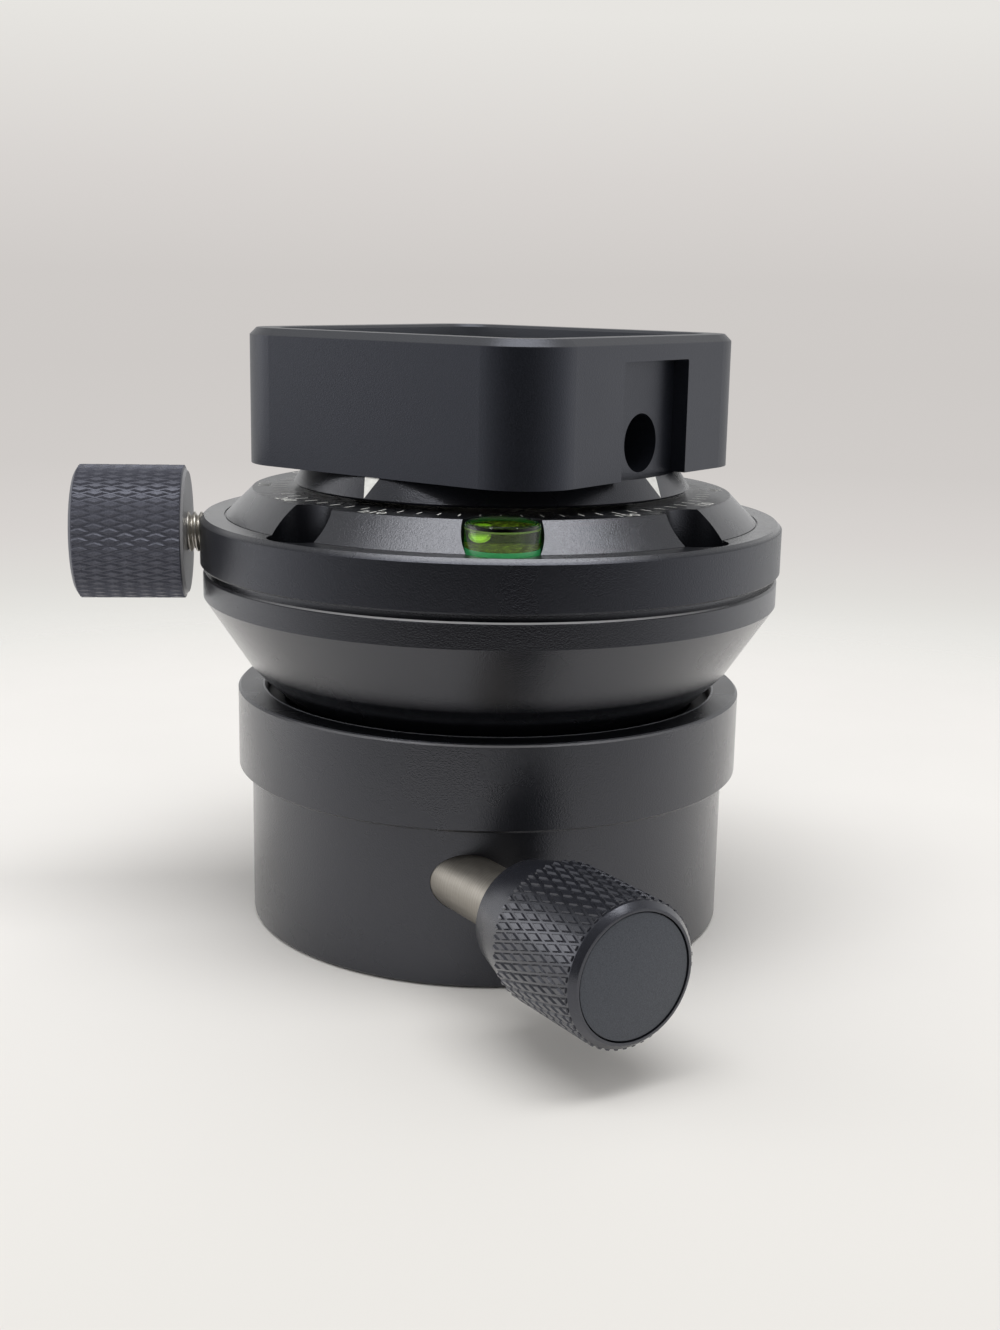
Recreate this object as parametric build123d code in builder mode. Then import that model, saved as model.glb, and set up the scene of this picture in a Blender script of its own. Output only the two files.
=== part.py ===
from build123d import *
import os
from math import asin, cos, degrees, radians, sin, sqrt

# Tripod leveling head with a panning top, in millimetres. +Z is up, the origin is the middle
# of the mouth of the tripod thread, on the face that stands on the tripod, and -Y is the front.

# Fits and clearances
running_gap = 0.06      # a part that turns or slides in a bore
fixed_gap = 0.02        # a part that is pressed or glued in its bore
screw_gap = 0.2         # a screw's shank in a hole that it passes through
sphere_gap = 0.3        # between two spherical faces of the tilting stack
cut_overrun = 1.0       # how far every cut runs past the face that it starts from

# Base housing, a turned cup on a drum
base_radius = 36.6
base_height = 23.45
base_wall = 3.6
flange_overhang = 2.0
flange_height = 12.55
cup_wall = 4.4
base_edge_chamfer = 0.5
lip_chamfer = 0.4
web_thickness = 4.5
web_recess_radius = 14.0
web_recess_depth = 1.2
base_radius_flange = base_radius + flange_overhang
cup_top_z = base_height + flange_height
cup_bore_radius = base_radius_flange - cup_wall
base_cavity_radius = base_radius - base_wall

# Bowl, a hollow ball zone whose centre is the tilt centre
bowl_sphere_radius = 49.9
bowl_shell = 5.0
lip_gap = 1.3
tilt_limit = 10.0       # degrees each way about X and about Y
rim_rise = 14.018       # from the cup's lip up to the lower edge of the rim
rim_height = 3.65
rim_inset = 0.437       # from the sphere in to the rim, at the rim's lower edge
cone_reach = 6.6        # from the rim in to where its cone meets the sphere
groove_height = 1.0
groove_depth = 1.2
rim_edge_chamfer = 0.3
tilt_centre_z = cup_top_z + sqrt(bowl_sphere_radius**2 - (cup_bore_radius - lip_gap)**2)
bowl_inner_radius = bowl_sphere_radius - bowl_shell
rim_bottom_z = cup_top_z + rim_rise
rim_radius = sqrt(bowl_sphere_radius**2 - (tilt_centre_z - rim_bottom_z) ** 2) - rim_inset
cone_foot_radius = rim_radius - cone_reach
rim_top_z = rim_bottom_z + rim_height
ring_bottom_z = rim_top_z + groove_height

# Retaining post and dome, which hold the bowl down from inside
post_radius = 4.5
post_thread_radius = 4.0
post_clearance = 0.8
post_end = 0.8          # of thread over the nut
post_flange_radius = 6.5
post_flange_height = 2.0
dome_angle = 32.0       # degrees from the axis to the dome's rim
dome_edge = 1.0         # thickness of the dome at its rim
nut_height = 4.0
nut_across_flats = 13.0
shim_thickness = 1.0
shim_hole_radius = 13.0
shim_reach = 1.8        # how far the dome's rim reaches past the shim
corner_tilt = degrees(asin(sqrt(sin(radians(tilt_limit))**2 * 2)))
bowl_hole_angle = degrees(asin((post_radius + post_clearance) / bowl_sphere_radius)) + corner_tilt
bowl_hole_radius = bowl_sphere_radius * sin(radians(bowl_hole_angle))
shim_outer_radius = bowl_inner_radius - sphere_gap
shim_inner_radius = shim_outer_radius - shim_thickness
dome_sphere_radius = shim_inner_radius - sphere_gap
dome_radius = dome_sphere_radius * sin(radians(dome_angle))

# Tilt lock: a spindle off to one side of the axis, a wedge and a pin under the seat ring
tilt_lock_azimuth = -57.1       # degrees from +X, the way the knob points
tilt_lock_inset = 15.1          # from the drum's outside to the spindle's axis
tilt_rod_radius = 4.28
tilt_thread_radius = 4.0
tilt_thread_pitch = 1.25
tilt_lock_turns = 1.2           # of the knob, from loose to tight
wedge_radius = 6.0
wedge_front = 5.0               # from the point nearest the head's axis to the wedge's face
wedge_length = 13.0
wedge_rise_share = 0.2          # rise of the wedge's slope for each length along it
wedge_top = 3.2                 # slope's height over the spindle's axis, at the pin
lock_boss_wall = 2.5
lock_boss_tail = 2.0
lock_boss_cover = 0.1
lift_pin_radius = 2.5
lift_pin_depth = 2.0            # of the pin in the seat ring
seat_ring_margin = 0.4
seat_ring_edge = 2.55           # thickness of the seat ring at its inner edge
seat_ring_land = 2.4            # radial width of the seat ring's flat top
bush_length = 11.5
bush_inset = 7.2                # from the drum's outside, along the spindle, to the bush
shoulder_room = 0.7             # from the bush to the rod's shoulder, when it is tight
nose_radius = 3.0
nose_length = 3.0
nose_gap = 0.3
tilt_travel = tilt_thread_pitch * tilt_lock_turns
seat_gap = sphere_gap + tilt_travel * wedge_rise_share
lock_boss_radius = wedge_radius + lock_boss_wall
tilt_lock_offset = base_radius - tilt_lock_inset
seat_ring_bore = tilt_lock_offset - lift_pin_radius - seat_ring_margin
seat_sphere_radius = bowl_sphere_radius + seat_gap
shelf_z = tilt_centre_z - sqrt(seat_sphere_radius**2 - seat_ring_bore**2) - seat_ring_edge
web_bottom_z = shelf_z - web_thickness
tilt_lock_z = shelf_z - lock_boss_cover - lock_boss_radius
drum_exit = sqrt(base_radius**2 - tilt_lock_offset**2)
bush_end = drum_exit - bush_inset
rod_shoulder = bush_end + tilt_travel + shoulder_room

# Knobs
tilt_knob_radius = 9.7
tilt_knob_reach = 13.3          # of bare rod between the drum and the knob
tilt_collar_length = 7.3
tilt_collar_radius = 7.7
tilt_knurl_length = 15.6
pan_knob_radius = 10.0
pan_knob_reach = 1.8            # of bare screw between the ring and the knob
pan_collar_length = 1.0
pan_collar_radius = 9.0
pan_knurl_length = 14.4
knob_end_length = 1.1
knob_end_step = 0.9
knob_cap_step = 0.5             # of plain end face around the cap's recess
knob_cap_gap = 0.15
knob_cap_thickness = 1.6
knob_cap_drop = 0.1
knob_web = 5.0                  # from the end of the rod to the cap's recess
knob_screw_radius = 1.5
knob_screw_head = 2.9
knob_screw_length = 12.0

# Scale ring, bolted on the bowl
ring_overhang = 0.4
ring_wall_height = 6.65
ring_edge_chamfer = 0.7
ring_ledge = 3.2
ledge_groove = 0.25
ring_slope = 4.0
ring_spigot_wall = 4.4
ring_spigot_depth = 2.5
ring_land = 7.0                 # radial width of the bowl's top face under the ring
hub_wall = 8.0
hub_drop = 3.2
ring_radius = rim_radius + ring_overhang
ledge_radius = ring_radius - ring_edge_chamfer
slope_foot_radius = ledge_radius - ring_ledge
scale_radius = slope_foot_radius - ring_slope
ledge_z = ring_bottom_z + ring_wall_height + ring_edge_chamfer
scale_z = ledge_z + ring_slope
bowl_bore_radius = rim_radius - groove_depth - ring_land
hub_bottom_z = ring_bottom_z - hub_drop

# Fixings of the scale ring, and the bubble level
level_azimuth = -87.6
level_pocket_radius = 5.5
level_pocket_inset = 6.7        # from the ring's wall to the pocket's middle
level_radius = 5.05
level_height = 8.0              # its top is flush with the scale's face
level_wall = 0.9
level_lid = 0.7
level_floor = 4.5               # a thick bright base, which shows through the liquid
bubble_radius = 1.3
bubble_drift = 2.3
ring_screw_count = 4
ring_screw_turn = 45.0          # degrees from the level to the first screw
ring_screw_radius = 2.0
ring_screw_head_radius = 3.5
ring_screw_head_height = 2.8
ring_screw_pocket = 4.5
ring_screw_inset = 5.4          # from the ring's wall to the screws' circle
ring_screw_seat = 1.5
ring_screw_length = 7.5         # under the head
ring_screw_room = 1.0           # of tapped hole past the screw's end
level_circle = ring_radius - level_pocket_inset
level_bottom_z = scale_z - level_height
ring_screw_circle = ring_radius - ring_screw_inset
ring_screw_seat_z = ring_bottom_z + ring_screw_seat

# Pan bearing and its lock
pan_shaft_radius = 14.0
pan_bush_wall = 2.0
pan_groove_depth = 1.4
pan_lock_azimuth = 184.6
pan_lock_rise = 4.3             # from the ring's lower face to the screw's axis
pan_thread_radius = 2.75        # half the pitch diameter of the thread
pan_thread_pitch = 1.0
pan_lock_turns = 0.5
pan_shoe_radius = 3.5
pan_shoe_length = 6.4
pan_shoe_room = 1.6
groove_room = 0.3               # over and under the shoe, in the shaft's groove
washer_bore_margin = 1.0
washer_width = 6.0
washer_thickness = 0.7
retainer_overlap = 4.0
retainer_thickness = 3.0
retainer_play = 0.1
retainer_screw_radius = 3.0
retainer_screw_head = 5.8
retainer_screw_length = 12.0
pan_lock_z = ring_bottom_z + pan_lock_rise
pan_bush_radius = pan_shaft_radius + pan_bush_wall
hub_radius = pan_bush_radius + hub_wall
shaft_bottom_z = hub_bottom_z - retainer_play
retainer_z = shaft_bottom_z - retainer_thickness
pan_travel = pan_thread_pitch * pan_lock_turns
shoe_tip = pan_shaft_radius - pan_groove_depth + pan_travel + sphere_gap
shoe_end = shoe_tip + pan_shoe_length
disc_bottom_z = scale_z + washer_thickness

# Index disc and the square receiver
scale_width = 6.2
disc_height = 3.1
disc_taper = 1.8
disc_edge_chamfer = 0.3
receiver_side = 56.5
receiver_height = 19.7
receiver_corner = 9.1
receiver_wall = 4.6
receiver_floor = 10.5
receiver_top_chamfer = 1.0
receiver_inner_chamfer = 0.4
receiver_turn = -37.2           # degrees that the photographed receiver is panned
side_pocket_width = 17.0
side_pocket_depth = 2.5
side_pocket_top = 3.3           # from the receiver's top to the pocket's
side_pocket_corner = 0.4
side_pocket_shift = 1.0         # of the pocket and the port from the middle of the face
side_port_radius = 4.2
side_port_rise = 4.7
side_port_depth = 8.0
receiver_screw_inset = 5.0      # from the pan shaft's outside to the screws' circle
receiver_screw_count = 4
receiver_screw_radius = 2.0
receiver_screw_head = 3.9
receiver_screw_length = 22.0
receiver_screw_circle = pan_shaft_radius - receiver_screw_inset
disc_radius = scale_radius - scale_width
disc_top_z = disc_bottom_z + disc_height
receiver_bottom_z = disc_top_z
receiver_top_z = receiver_bottom_z + receiver_height
receiver_floor_z = receiver_bottom_z + receiver_floor
side_port_z = receiver_bottom_z + side_port_rise

# Bottom plate and tripod thread, 3/8 inch
plate_ledge = 1.0
plate_thickness = 5.0
plate_screw_count = 3
plate_screw_start = -75.0
plate_screw_inset = 3.0         # from the cavity's wall to the screws' circle
plate_screw_radius = 1.5
plate_screw_head = 2.9
plate_screw_length = 11.0
plate_boss_wall = 2.0
tripod_thread_radius = 3.97
tripod_bush_radius = 8.0
tripod_bush_height = 11.0
tripod_flange_radius = 11.0
tripod_flange_height = 2.0
post_hub_radius = 8.0
post_gap = 1.0          # between the tripod bush and the post
plate_radius = base_cavity_radius + plate_ledge
plate_screw_circle = base_cavity_radius - plate_screw_inset
post_bottom_z = tripod_bush_height + post_gap
post_hub_z = post_bottom_z + post_flange_height
post_shoulder_z = tilt_centre_z - sqrt(dome_sphere_radius**2 - post_radius**2)
dome_top_z = tilt_centre_z - sqrt(dome_sphere_radius**2 - dome_radius**2) + dome_edge
post_top_z = dome_top_z + nut_height + post_end


def sphere_z(radius, distance):
    """Height of a sphere round the tilt centre, on its lower side, at a distance from the axis"""
    return tilt_centre_z - sqrt(radius**2 - distance**2)


def sphere_arc(radius, start, end):
    """Arc of that sphere's section, from one distance from the axis to another"""
    middle = (start + end) / 2
    points = [(at, sphere_z(radius, at)) for at in (start, middle, end)]
    return ThreePointArc(*points)


def lock_axis(azimuth, offset, height):
    """The plane square to a lock's axis, the upright plane along it, and the axis itself"""
    along = Vector(cos(radians(azimuth)), sin(radians(azimuth)), 0)
    across = Vector(-along.Y, along.X, 0)
    origin = across * -offset + Vector(0, 0, height)
    square = Plane(origin=origin, x_dir=across, z_dir=along)
    side = Plane(origin=origin, x_dir=along, z_dir=Vector(along.Y, -along.X, 0))
    return square, side, Axis(origin=origin, direction=along)


def knob_outline(start, bore, collar_length, collar_radius, knurl_length, radius):
    """Outline of half a knob, x along its axis, and where its web and its cap's recess start"""
    front = start + collar_length + knurl_length + knob_end_length
    recess = radius - knob_end_step - knob_cap_step
    floor = front - knob_cap_drop - knob_cap_thickness
    web = floor - knob_web
    points = [
        (start, bore + fixed_gap),
        (start, collar_radius),
        (start + collar_length, radius),
        (front - knob_end_length, radius),
        (front, radius - knob_end_step),
        (front, recess),
        (floor, recess),
        (floor, knob_screw_head + fixed_gap),
        (floor - knob_screw_head + knob_screw_radius, knob_screw_radius + fixed_gap),
        (web, knob_screw_radius + fixed_gap),
        (web, bore + fixed_gap),
    ]
    return points, web, floor, recess - knob_cap_gap


def knob_screw_outline(floor):
    """Outline of half a knob's screw, x along its axis, its flat head at the cap's recess"""
    return [
        (floor, 0),
        (floor, knob_screw_head),
        (floor - knob_screw_head + knob_screw_radius, knob_screw_radius),
        (floor - knob_screw_length, knob_screw_radius),
        (floor - knob_screw_length, 0),
    ]


def turned(height):
    """The plane of the receiver's sections at a height, one that pans with it"""
    along = (cos(radians(receiver_turn)), sin(radians(receiver_turn)), 0)
    return Plane(origin=(0, 0, height), x_dir=along, z_dir=(0, 0, 1))


tilt_square, tilt_side, tilt_line = lock_axis(tilt_lock_azimuth, tilt_lock_offset, tilt_lock_z)
pan_square, pan_side, pan_line = lock_axis(pan_lock_azimuth, 0, pan_lock_z)
side_face = Plane(origin=(0, 0, side_port_z), x_dir=turned(0).y_dir, z_dir=turned(0).x_dir)
tilt_knob_start = drum_exit + tilt_knob_reach
tilt_knob_sizes = (tilt_collar_length, tilt_collar_radius, tilt_knurl_length, tilt_knob_radius)
tilt_knob_points, tilt_web, tilt_floor, tilt_cap_radius = knob_outline(
    tilt_knob_start, tilt_rod_radius, *tilt_knob_sizes
)
pan_knob_start = ring_radius + pan_knob_reach
pan_knob_sizes = (pan_collar_length, pan_collar_radius, pan_knurl_length, pan_knob_radius)
pan_knob_points, pan_web, pan_floor, pan_cap_radius = knob_outline(
    pan_knob_start, pan_thread_radius, *pan_knob_sizes
)
upward = (Align.CENTER, Align.CENTER, Align.MIN)
downward = (Align.CENTER, Align.CENTER, Align.MAX)
plate_screws_at = PolarLocations(plate_screw_circle, plate_screw_count, plate_screw_start)
ring_screws_at = PolarLocations(ring_screw_circle, ring_screw_count, level_azimuth + ring_screw_turn)
level_at = PolarLocations(level_circle, 1, level_azimuth)
lift_pin_at = Locations((tilt_line.position.X, tilt_line.position.Y))
made = []


def keep(part, name):
    """Labels a finished piece and writes it"""
    part.label = name
    export_step(part, f"parts/{name}.step")
    made.append(part)


os.makedirs("parts", exist_ok=True)


# Base housing: drum, cup with its shelf, web, bosses for the lock, the post and the plate
with BuildPart() as base_housing:
    with BuildSketch(tilt_square.offset(wedge_front - wedge_length - lock_boss_tail)):
        Circle(lock_boss_radius)
    extrude(amount=base_radius + base_radius)
    with BuildSketch(Plane.XY.offset(plate_thickness)):
        Circle(base_radius - base_wall / 2)
    extrude(amount=shelf_z - plate_thickness, mode=Mode.INTERSECT)
    with BuildSketch(Plane.XY.offset(plate_thickness)):
        with plate_screws_at:
            Circle(plate_screw_radius + plate_boss_wall)
    extrude(amount=web_bottom_z - plate_thickness)
    with BuildSketch(Plane.XY.offset(post_hub_z)):
        Circle(post_hub_radius)
    extrude(amount=web_bottom_z - post_hub_z)
    with BuildSketch(Plane.XZ):
        with BuildLine():
            Polyline(
                (plate_radius + fixed_gap, 0),
                (base_radius - base_edge_chamfer, 0),
                (base_radius, base_edge_chamfer),
                (base_radius, base_height),
                (base_radius_flange - lip_chamfer, base_height),
                (base_radius_flange, base_height + lip_chamfer),
                (base_radius_flange, cup_top_z - lip_chamfer),
                (base_radius_flange - lip_chamfer, cup_top_z),
                (cup_bore_radius + lip_chamfer, cup_top_z),
                (cup_bore_radius, cup_top_z - lip_chamfer),
                (cup_bore_radius, shelf_z),
                (web_recess_radius, shelf_z),
                (web_recess_radius, shelf_z - web_recess_depth),
                (0, shelf_z - web_recess_depth),
                (0, web_bottom_z),
                (base_cavity_radius, web_bottom_z),
                (base_cavity_radius, plate_thickness),
                (plate_radius + fixed_gap, plate_thickness),
                close=True,
            )
        make_face()
    revolve(axis=Axis.Z)
    with BuildSketch(Plane.XY.offset(post_bottom_z)):
        Circle(post_radius + fixed_gap)
    extrude(amount=shelf_z - post_bottom_z, mode=Mode.SUBTRACT)
    with BuildSketch(tilt_square.offset(bush_end)):
        Circle(wedge_radius)
    bore_length = bush_end - wedge_front + wedge_length + lock_boss_tail + cut_overrun
    extrude(amount=-bore_length, mode=Mode.SUBTRACT)
    with BuildSketch(tilt_square):
        Circle(tilt_rod_radius + running_gap)
    extrude(amount=base_radius + base_radius, mode=Mode.SUBTRACT)
    with BuildSketch(Plane.XY.offset(tilt_lock_z)):
        with lift_pin_at:
            Circle(lift_pin_radius + running_gap)
    extrude(amount=shelf_z - tilt_lock_z + cut_overrun, mode=Mode.SUBTRACT)
    with BuildSketch(Plane.XY.offset(plate_thickness)):
        with plate_screws_at:
            Circle(plate_screw_radius + fixed_gap)
    extrude(amount=plate_screw_length - plate_thickness + cut_overrun, mode=Mode.SUBTRACT)
keep(base_housing.part, "base_housing")

# Base plate, held by countersunk screws, with the steel tripod bush through it
with BuildPart() as base_plate:
    with BuildSketch():
        Circle(plate_radius)
        Circle(tripod_bush_radius + fixed_gap, mode=Mode.SUBTRACT)
        with plate_screws_at:
            Circle(plate_screw_radius + screw_gap, mode=Mode.SUBTRACT)
    extrude(amount=plate_thickness)
    with plate_screws_at:
        Cone(
            plate_screw_head + fixed_gap,
            plate_screw_radius + fixed_gap,
            plate_screw_head - plate_screw_radius,
            align=upward,
            mode=Mode.SUBTRACT,
        )
keep(base_plate.part, "base_plate")

with BuildPart() as plate_screws:
    with plate_screws_at:
        Cylinder(plate_screw_radius, plate_screw_length, align=upward)
        Cone(
            plate_screw_head,
            plate_screw_radius,
            plate_screw_head - plate_screw_radius,
            align=upward,
        )
keep(plate_screws.part, "plate_screws")

with BuildPart() as tripod_bush:
    Cylinder(tripod_bush_radius, tripod_bush_height, align=upward)
    with Locations((0, 0, plate_thickness)):
        Cylinder(tripod_flange_radius, tripod_flange_height, align=upward)
    Cylinder(tripod_thread_radius, tripod_bush_height, align=upward, mode=Mode.SUBTRACT)
keep(tripod_bush.part, "tripod_bush")

# Post, dome and nut, which hold the bowl and the friction shim down
with BuildPart() as clamp_post:
    with BuildSketch(Plane.XZ):
        with BuildLine():
            Polyline(
                (0, post_bottom_z),
                (post_flange_radius, post_bottom_z),
                (post_flange_radius, post_hub_z),
                (post_radius, post_hub_z),
                (post_radius, post_shoulder_z),
                (post_thread_radius, post_shoulder_z),
                (post_thread_radius, post_top_z),
                (0, post_top_z),
                close=True,
            )
        make_face()
    revolve(axis=Axis.Z)
keep(clamp_post.part, "clamp_post")

with BuildPart() as clamp_dome:
    with BuildSketch(Plane.XZ):
        with BuildLine():
            sphere_arc(dome_sphere_radius, post_radius, dome_radius)
            Polyline(
                (dome_radius, dome_top_z - dome_edge),
                (dome_radius, dome_top_z),
                (post_thread_radius + fixed_gap, dome_top_z),
                (post_thread_radius + fixed_gap, post_shoulder_z),
                (post_radius, post_shoulder_z),
            )
        make_face()
    revolve(axis=Axis.Z)
keep(clamp_dome.part, "clamp_dome")

with BuildPart() as dome_nut:
    with BuildSketch(Plane.XY.offset(dome_top_z)):
        RegularPolygon(nut_across_flats / 2, 6, major_radius=False)
        Circle(post_thread_radius + fixed_gap, mode=Mode.SUBTRACT)
    extrude(amount=nut_height)
keep(dome_nut.part, "dome_nut")

with BuildPart() as friction_shim:
    with BuildSketch(Plane.XZ):
        with BuildLine():
            shim_rim = dome_radius - shim_reach
            sphere_arc(shim_outer_radius, shim_hole_radius, shim_rim)
            sphere_arc(shim_inner_radius, shim_hole_radius, shim_rim)
            for at in (shim_hole_radius, shim_rim):
                Line((at, sphere_z(shim_outer_radius, at)), (at, sphere_z(shim_inner_radius, at)))
        make_face()
    revolve(axis=Axis.Z)
keep(friction_shim.part, "friction_shim")

# Seat ring and its lift pin, which the wedge raises against the bowl
with BuildPart() as seat_ring:
    with BuildSketch(Plane.XZ):
        with BuildLine():
            seat_flat = cup_bore_radius - running_gap - seat_ring_land
            seat_top_z = sphere_z(seat_sphere_radius, seat_flat)
            sphere_arc(seat_sphere_radius, seat_ring_bore, seat_flat)
            Polyline(
                (seat_flat, seat_top_z),
                (cup_bore_radius - running_gap, seat_top_z),
                (cup_bore_radius - running_gap, shelf_z),
                (seat_ring_bore, shelf_z),
                (seat_ring_bore, sphere_z(seat_sphere_radius, seat_ring_bore)),
            )
        make_face()
    revolve(axis=Axis.Z)
    with BuildSketch(Plane.XY.offset(shelf_z)):
        with lift_pin_at:
            Circle(lift_pin_radius + fixed_gap)
    extrude(amount=lift_pin_depth, mode=Mode.SUBTRACT)
keep(seat_ring.part, "seat_ring")

with BuildPart() as lift_pin:
    with BuildSketch(Plane.XY.offset(tilt_lock_z)):
        with lift_pin_at:
            Circle(lift_pin_radius)
    extrude(amount=shelf_z + lift_pin_depth - tilt_lock_z)
    with BuildSketch(tilt_side):
        with BuildLine():
            pin_slope = wedge_rise_share * wedge_radius
            Polyline(
                (-wedge_radius, -cut_overrun),
                (wedge_radius, -cut_overrun),
                (wedge_radius, wedge_top + running_gap + pin_slope),
                (-wedge_radius, wedge_top + running_gap - pin_slope),
                close=True,
            )
        make_face()
    extrude(amount=wedge_radius, both=True, mode=Mode.SUBTRACT)
keep(lift_pin.part, "lift_pin")

# Tilt lock: threaded bush in the boss, wedge on the spindle's nose, spindle, knob
with BuildPart() as tilt_bush:
    with BuildSketch(tilt_square.offset(bush_end)):
        Circle(wedge_radius - fixed_gap)
        Circle(tilt_thread_radius + running_gap, mode=Mode.SUBTRACT)
    extrude(amount=-bush_length)
keep(tilt_bush.part, "tilt_bush")

with BuildPart() as tilt_wedge:
    with BuildSketch(tilt_square.offset(wedge_front)):
        Circle(wedge_radius - running_gap)
    extrude(amount=-wedge_length)
    with BuildSketch(tilt_side):
        with BuildLine():
            wedge_back = wedge_front - wedge_length
            wedge_cut = wedge_front + cut_overrun
            Polyline(
                (wedge_back - cut_overrun, wedge_top + wedge_rise_share * (wedge_back - cut_overrun)),
                (wedge_cut, wedge_top + wedge_rise_share * wedge_cut),
                (wedge_cut, wedge_radius + cut_overrun),
                (wedge_back - cut_overrun, wedge_radius + cut_overrun),
                close=True,
            )
        make_face()
    extrude(amount=wedge_radius, both=True, mode=Mode.SUBTRACT)
    with BuildSketch(tilt_square.offset(wedge_front)):
        Circle(nose_radius + running_gap)
    extrude(amount=-nose_length - nose_gap, mode=Mode.SUBTRACT)
keep(tilt_wedge.part, "tilt_wedge")

with BuildPart() as tilt_spindle:
    with BuildSketch(tilt_side):
        with BuildLine():
            Polyline(
                (wedge_front - nose_length, 0),
                (wedge_front - nose_length, nose_radius),
                (wedge_front, nose_radius),
                (wedge_front, tilt_thread_radius),
                (rod_shoulder, tilt_thread_radius),
                (rod_shoulder, tilt_rod_radius),
                (tilt_web, tilt_rod_radius),
                (tilt_web, knob_screw_radius + fixed_gap),
                (tilt_floor - knob_screw_length - screw_gap, knob_screw_radius + fixed_gap),
                (tilt_floor - knob_screw_length - screw_gap, 0),
                close=True,
            )
        make_face()
    revolve(axis=tilt_line)
keep(tilt_spindle.part, "tilt_spindle")

with BuildPart() as tilt_knob:
    with BuildSketch(tilt_side):
        with BuildLine():
            Polyline(*tilt_knob_points, close=True)
        make_face()
    revolve(axis=tilt_line)
keep(tilt_knob.part, "tilt_knob")

with BuildPart() as tilt_knob_cap:
    with BuildSketch(tilt_square.offset(tilt_floor)):
        Circle(tilt_cap_radius)
    extrude(amount=knob_cap_thickness)
keep(tilt_knob_cap.part, "tilt_knob_cap")

with BuildPart() as tilt_knob_screw:
    with BuildSketch(tilt_side):
        with BuildLine():
            Polyline(*knob_screw_outline(tilt_floor), close=True)
        make_face()
    revolve(axis=tilt_line)
keep(tilt_knob_screw.part, "tilt_knob_screw")

# Bowl
with BuildPart() as bowl:
    with BuildSketch(Plane.XZ):
        with BuildLine():
            sphere_arc(bowl_sphere_radius, bowl_hole_radius, cone_foot_radius)
            Polyline(
                (cone_foot_radius, sphere_z(bowl_sphere_radius, cone_foot_radius)),
                (rim_radius, rim_bottom_z),
                (rim_radius, rim_top_z - rim_edge_chamfer),
                (rim_radius - rim_edge_chamfer, rim_top_z),
                (rim_radius - groove_depth, rim_top_z),
                (rim_radius - groove_depth, ring_bottom_z),
                (bowl_bore_radius, ring_bottom_z),
                (bowl_bore_radius, sphere_z(bowl_inner_radius, bowl_bore_radius)),
            )
            sphere_arc(bowl_inner_radius, bowl_hole_radius, bowl_bore_radius)
            Line(
                (bowl_hole_radius, sphere_z(bowl_inner_radius, bowl_hole_radius)),
                (bowl_hole_radius, sphere_z(bowl_sphere_radius, bowl_hole_radius)),
            )
        make_face()
    revolve(axis=Axis.Z)
    with BuildSketch(Plane.XY.offset(ring_bottom_z)):
        with ring_screws_at:
            Circle(ring_screw_radius + fixed_gap)
    extrude(amount=ring_screw_seat - ring_screw_length - ring_screw_room, mode=Mode.SUBTRACT)
keep(bowl.part, "bowl")

# Scale ring, with the pockets of its screws and of the level, and the bore of the pan lock
with BuildPart() as scale_ring:
    with BuildSketch(Plane.XZ):
        with BuildLine():
            spigot_radius = bowl_bore_radius - fixed_gap
            spigot_z = ring_bottom_z - ring_spigot_depth
            Polyline(
                (pan_bush_radius + fixed_gap, hub_bottom_z),
                (hub_radius, hub_bottom_z),
                (hub_radius, ring_bottom_z),
                (spigot_radius - ring_spigot_wall, ring_bottom_z),
                (spigot_radius - ring_spigot_wall, spigot_z),
                (spigot_radius, spigot_z),
                (spigot_radius, ring_bottom_z),
                (ring_radius - rim_edge_chamfer, ring_bottom_z),
                (ring_radius, ring_bottom_z + rim_edge_chamfer),
                (ring_radius, ledge_z - ring_edge_chamfer),
                (ledge_radius, ledge_z),
                (slope_foot_radius + ledge_groove, ledge_z),
                (slope_foot_radius + ledge_groove, ledge_z - ledge_groove),
                (slope_foot_radius, ledge_z - ledge_groove),
                (slope_foot_radius, ledge_z),
                (scale_radius, scale_z),
                (pan_bush_radius + fixed_gap, scale_z),
                close=True,
            )
        make_face()
    revolve(axis=Axis.Z)
    with BuildSketch(Plane.XY.offset(level_bottom_z)):
        with level_at:
            Circle(level_pocket_radius)
    extrude(amount=scale_z - level_bottom_z + cut_overrun, mode=Mode.SUBTRACT)
    with BuildSketch(Plane.XY.offset(ring_screw_seat_z)):
        with ring_screws_at:
            Circle(ring_screw_pocket)
    extrude(amount=scale_z - ring_screw_seat_z + cut_overrun, mode=Mode.SUBTRACT)
    with BuildSketch(Plane.XY.offset(ring_bottom_z)):
        with ring_screws_at:
            Circle(ring_screw_radius + screw_gap)
    extrude(amount=ring_screw_seat, mode=Mode.SUBTRACT)
    with BuildSketch(pan_square):
        Circle(pan_shoe_radius + running_gap)
    extrude(amount=shoe_end + pan_shoe_room, mode=Mode.SUBTRACT)
    with BuildSketch(pan_square):
        Circle(pan_thread_radius + running_gap)
    extrude(amount=ring_radius + cut_overrun, mode=Mode.SUBTRACT)
keep(scale_ring.part, "scale_ring")

with BuildPart(Plane.XY.offset(ring_screw_seat_z)) as ring_screws:
    with ring_screws_at:
        Cylinder(ring_screw_radius, ring_screw_length, align=downward)
        Cylinder(ring_screw_head_radius, ring_screw_head_height, align=upward)
keep(ring_screws.part, "ring_screws")

# Bubble level: clear vial, its base, and the liquid with the bubble's hollow
with BuildPart() as level_base:
    with BuildSketch(Plane.XY.offset(level_bottom_z)):
        with level_at:
            Circle(level_radius - level_wall - fixed_gap)
    extrude(amount=level_floor)
keep(level_base.part, "level_base")

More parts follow.
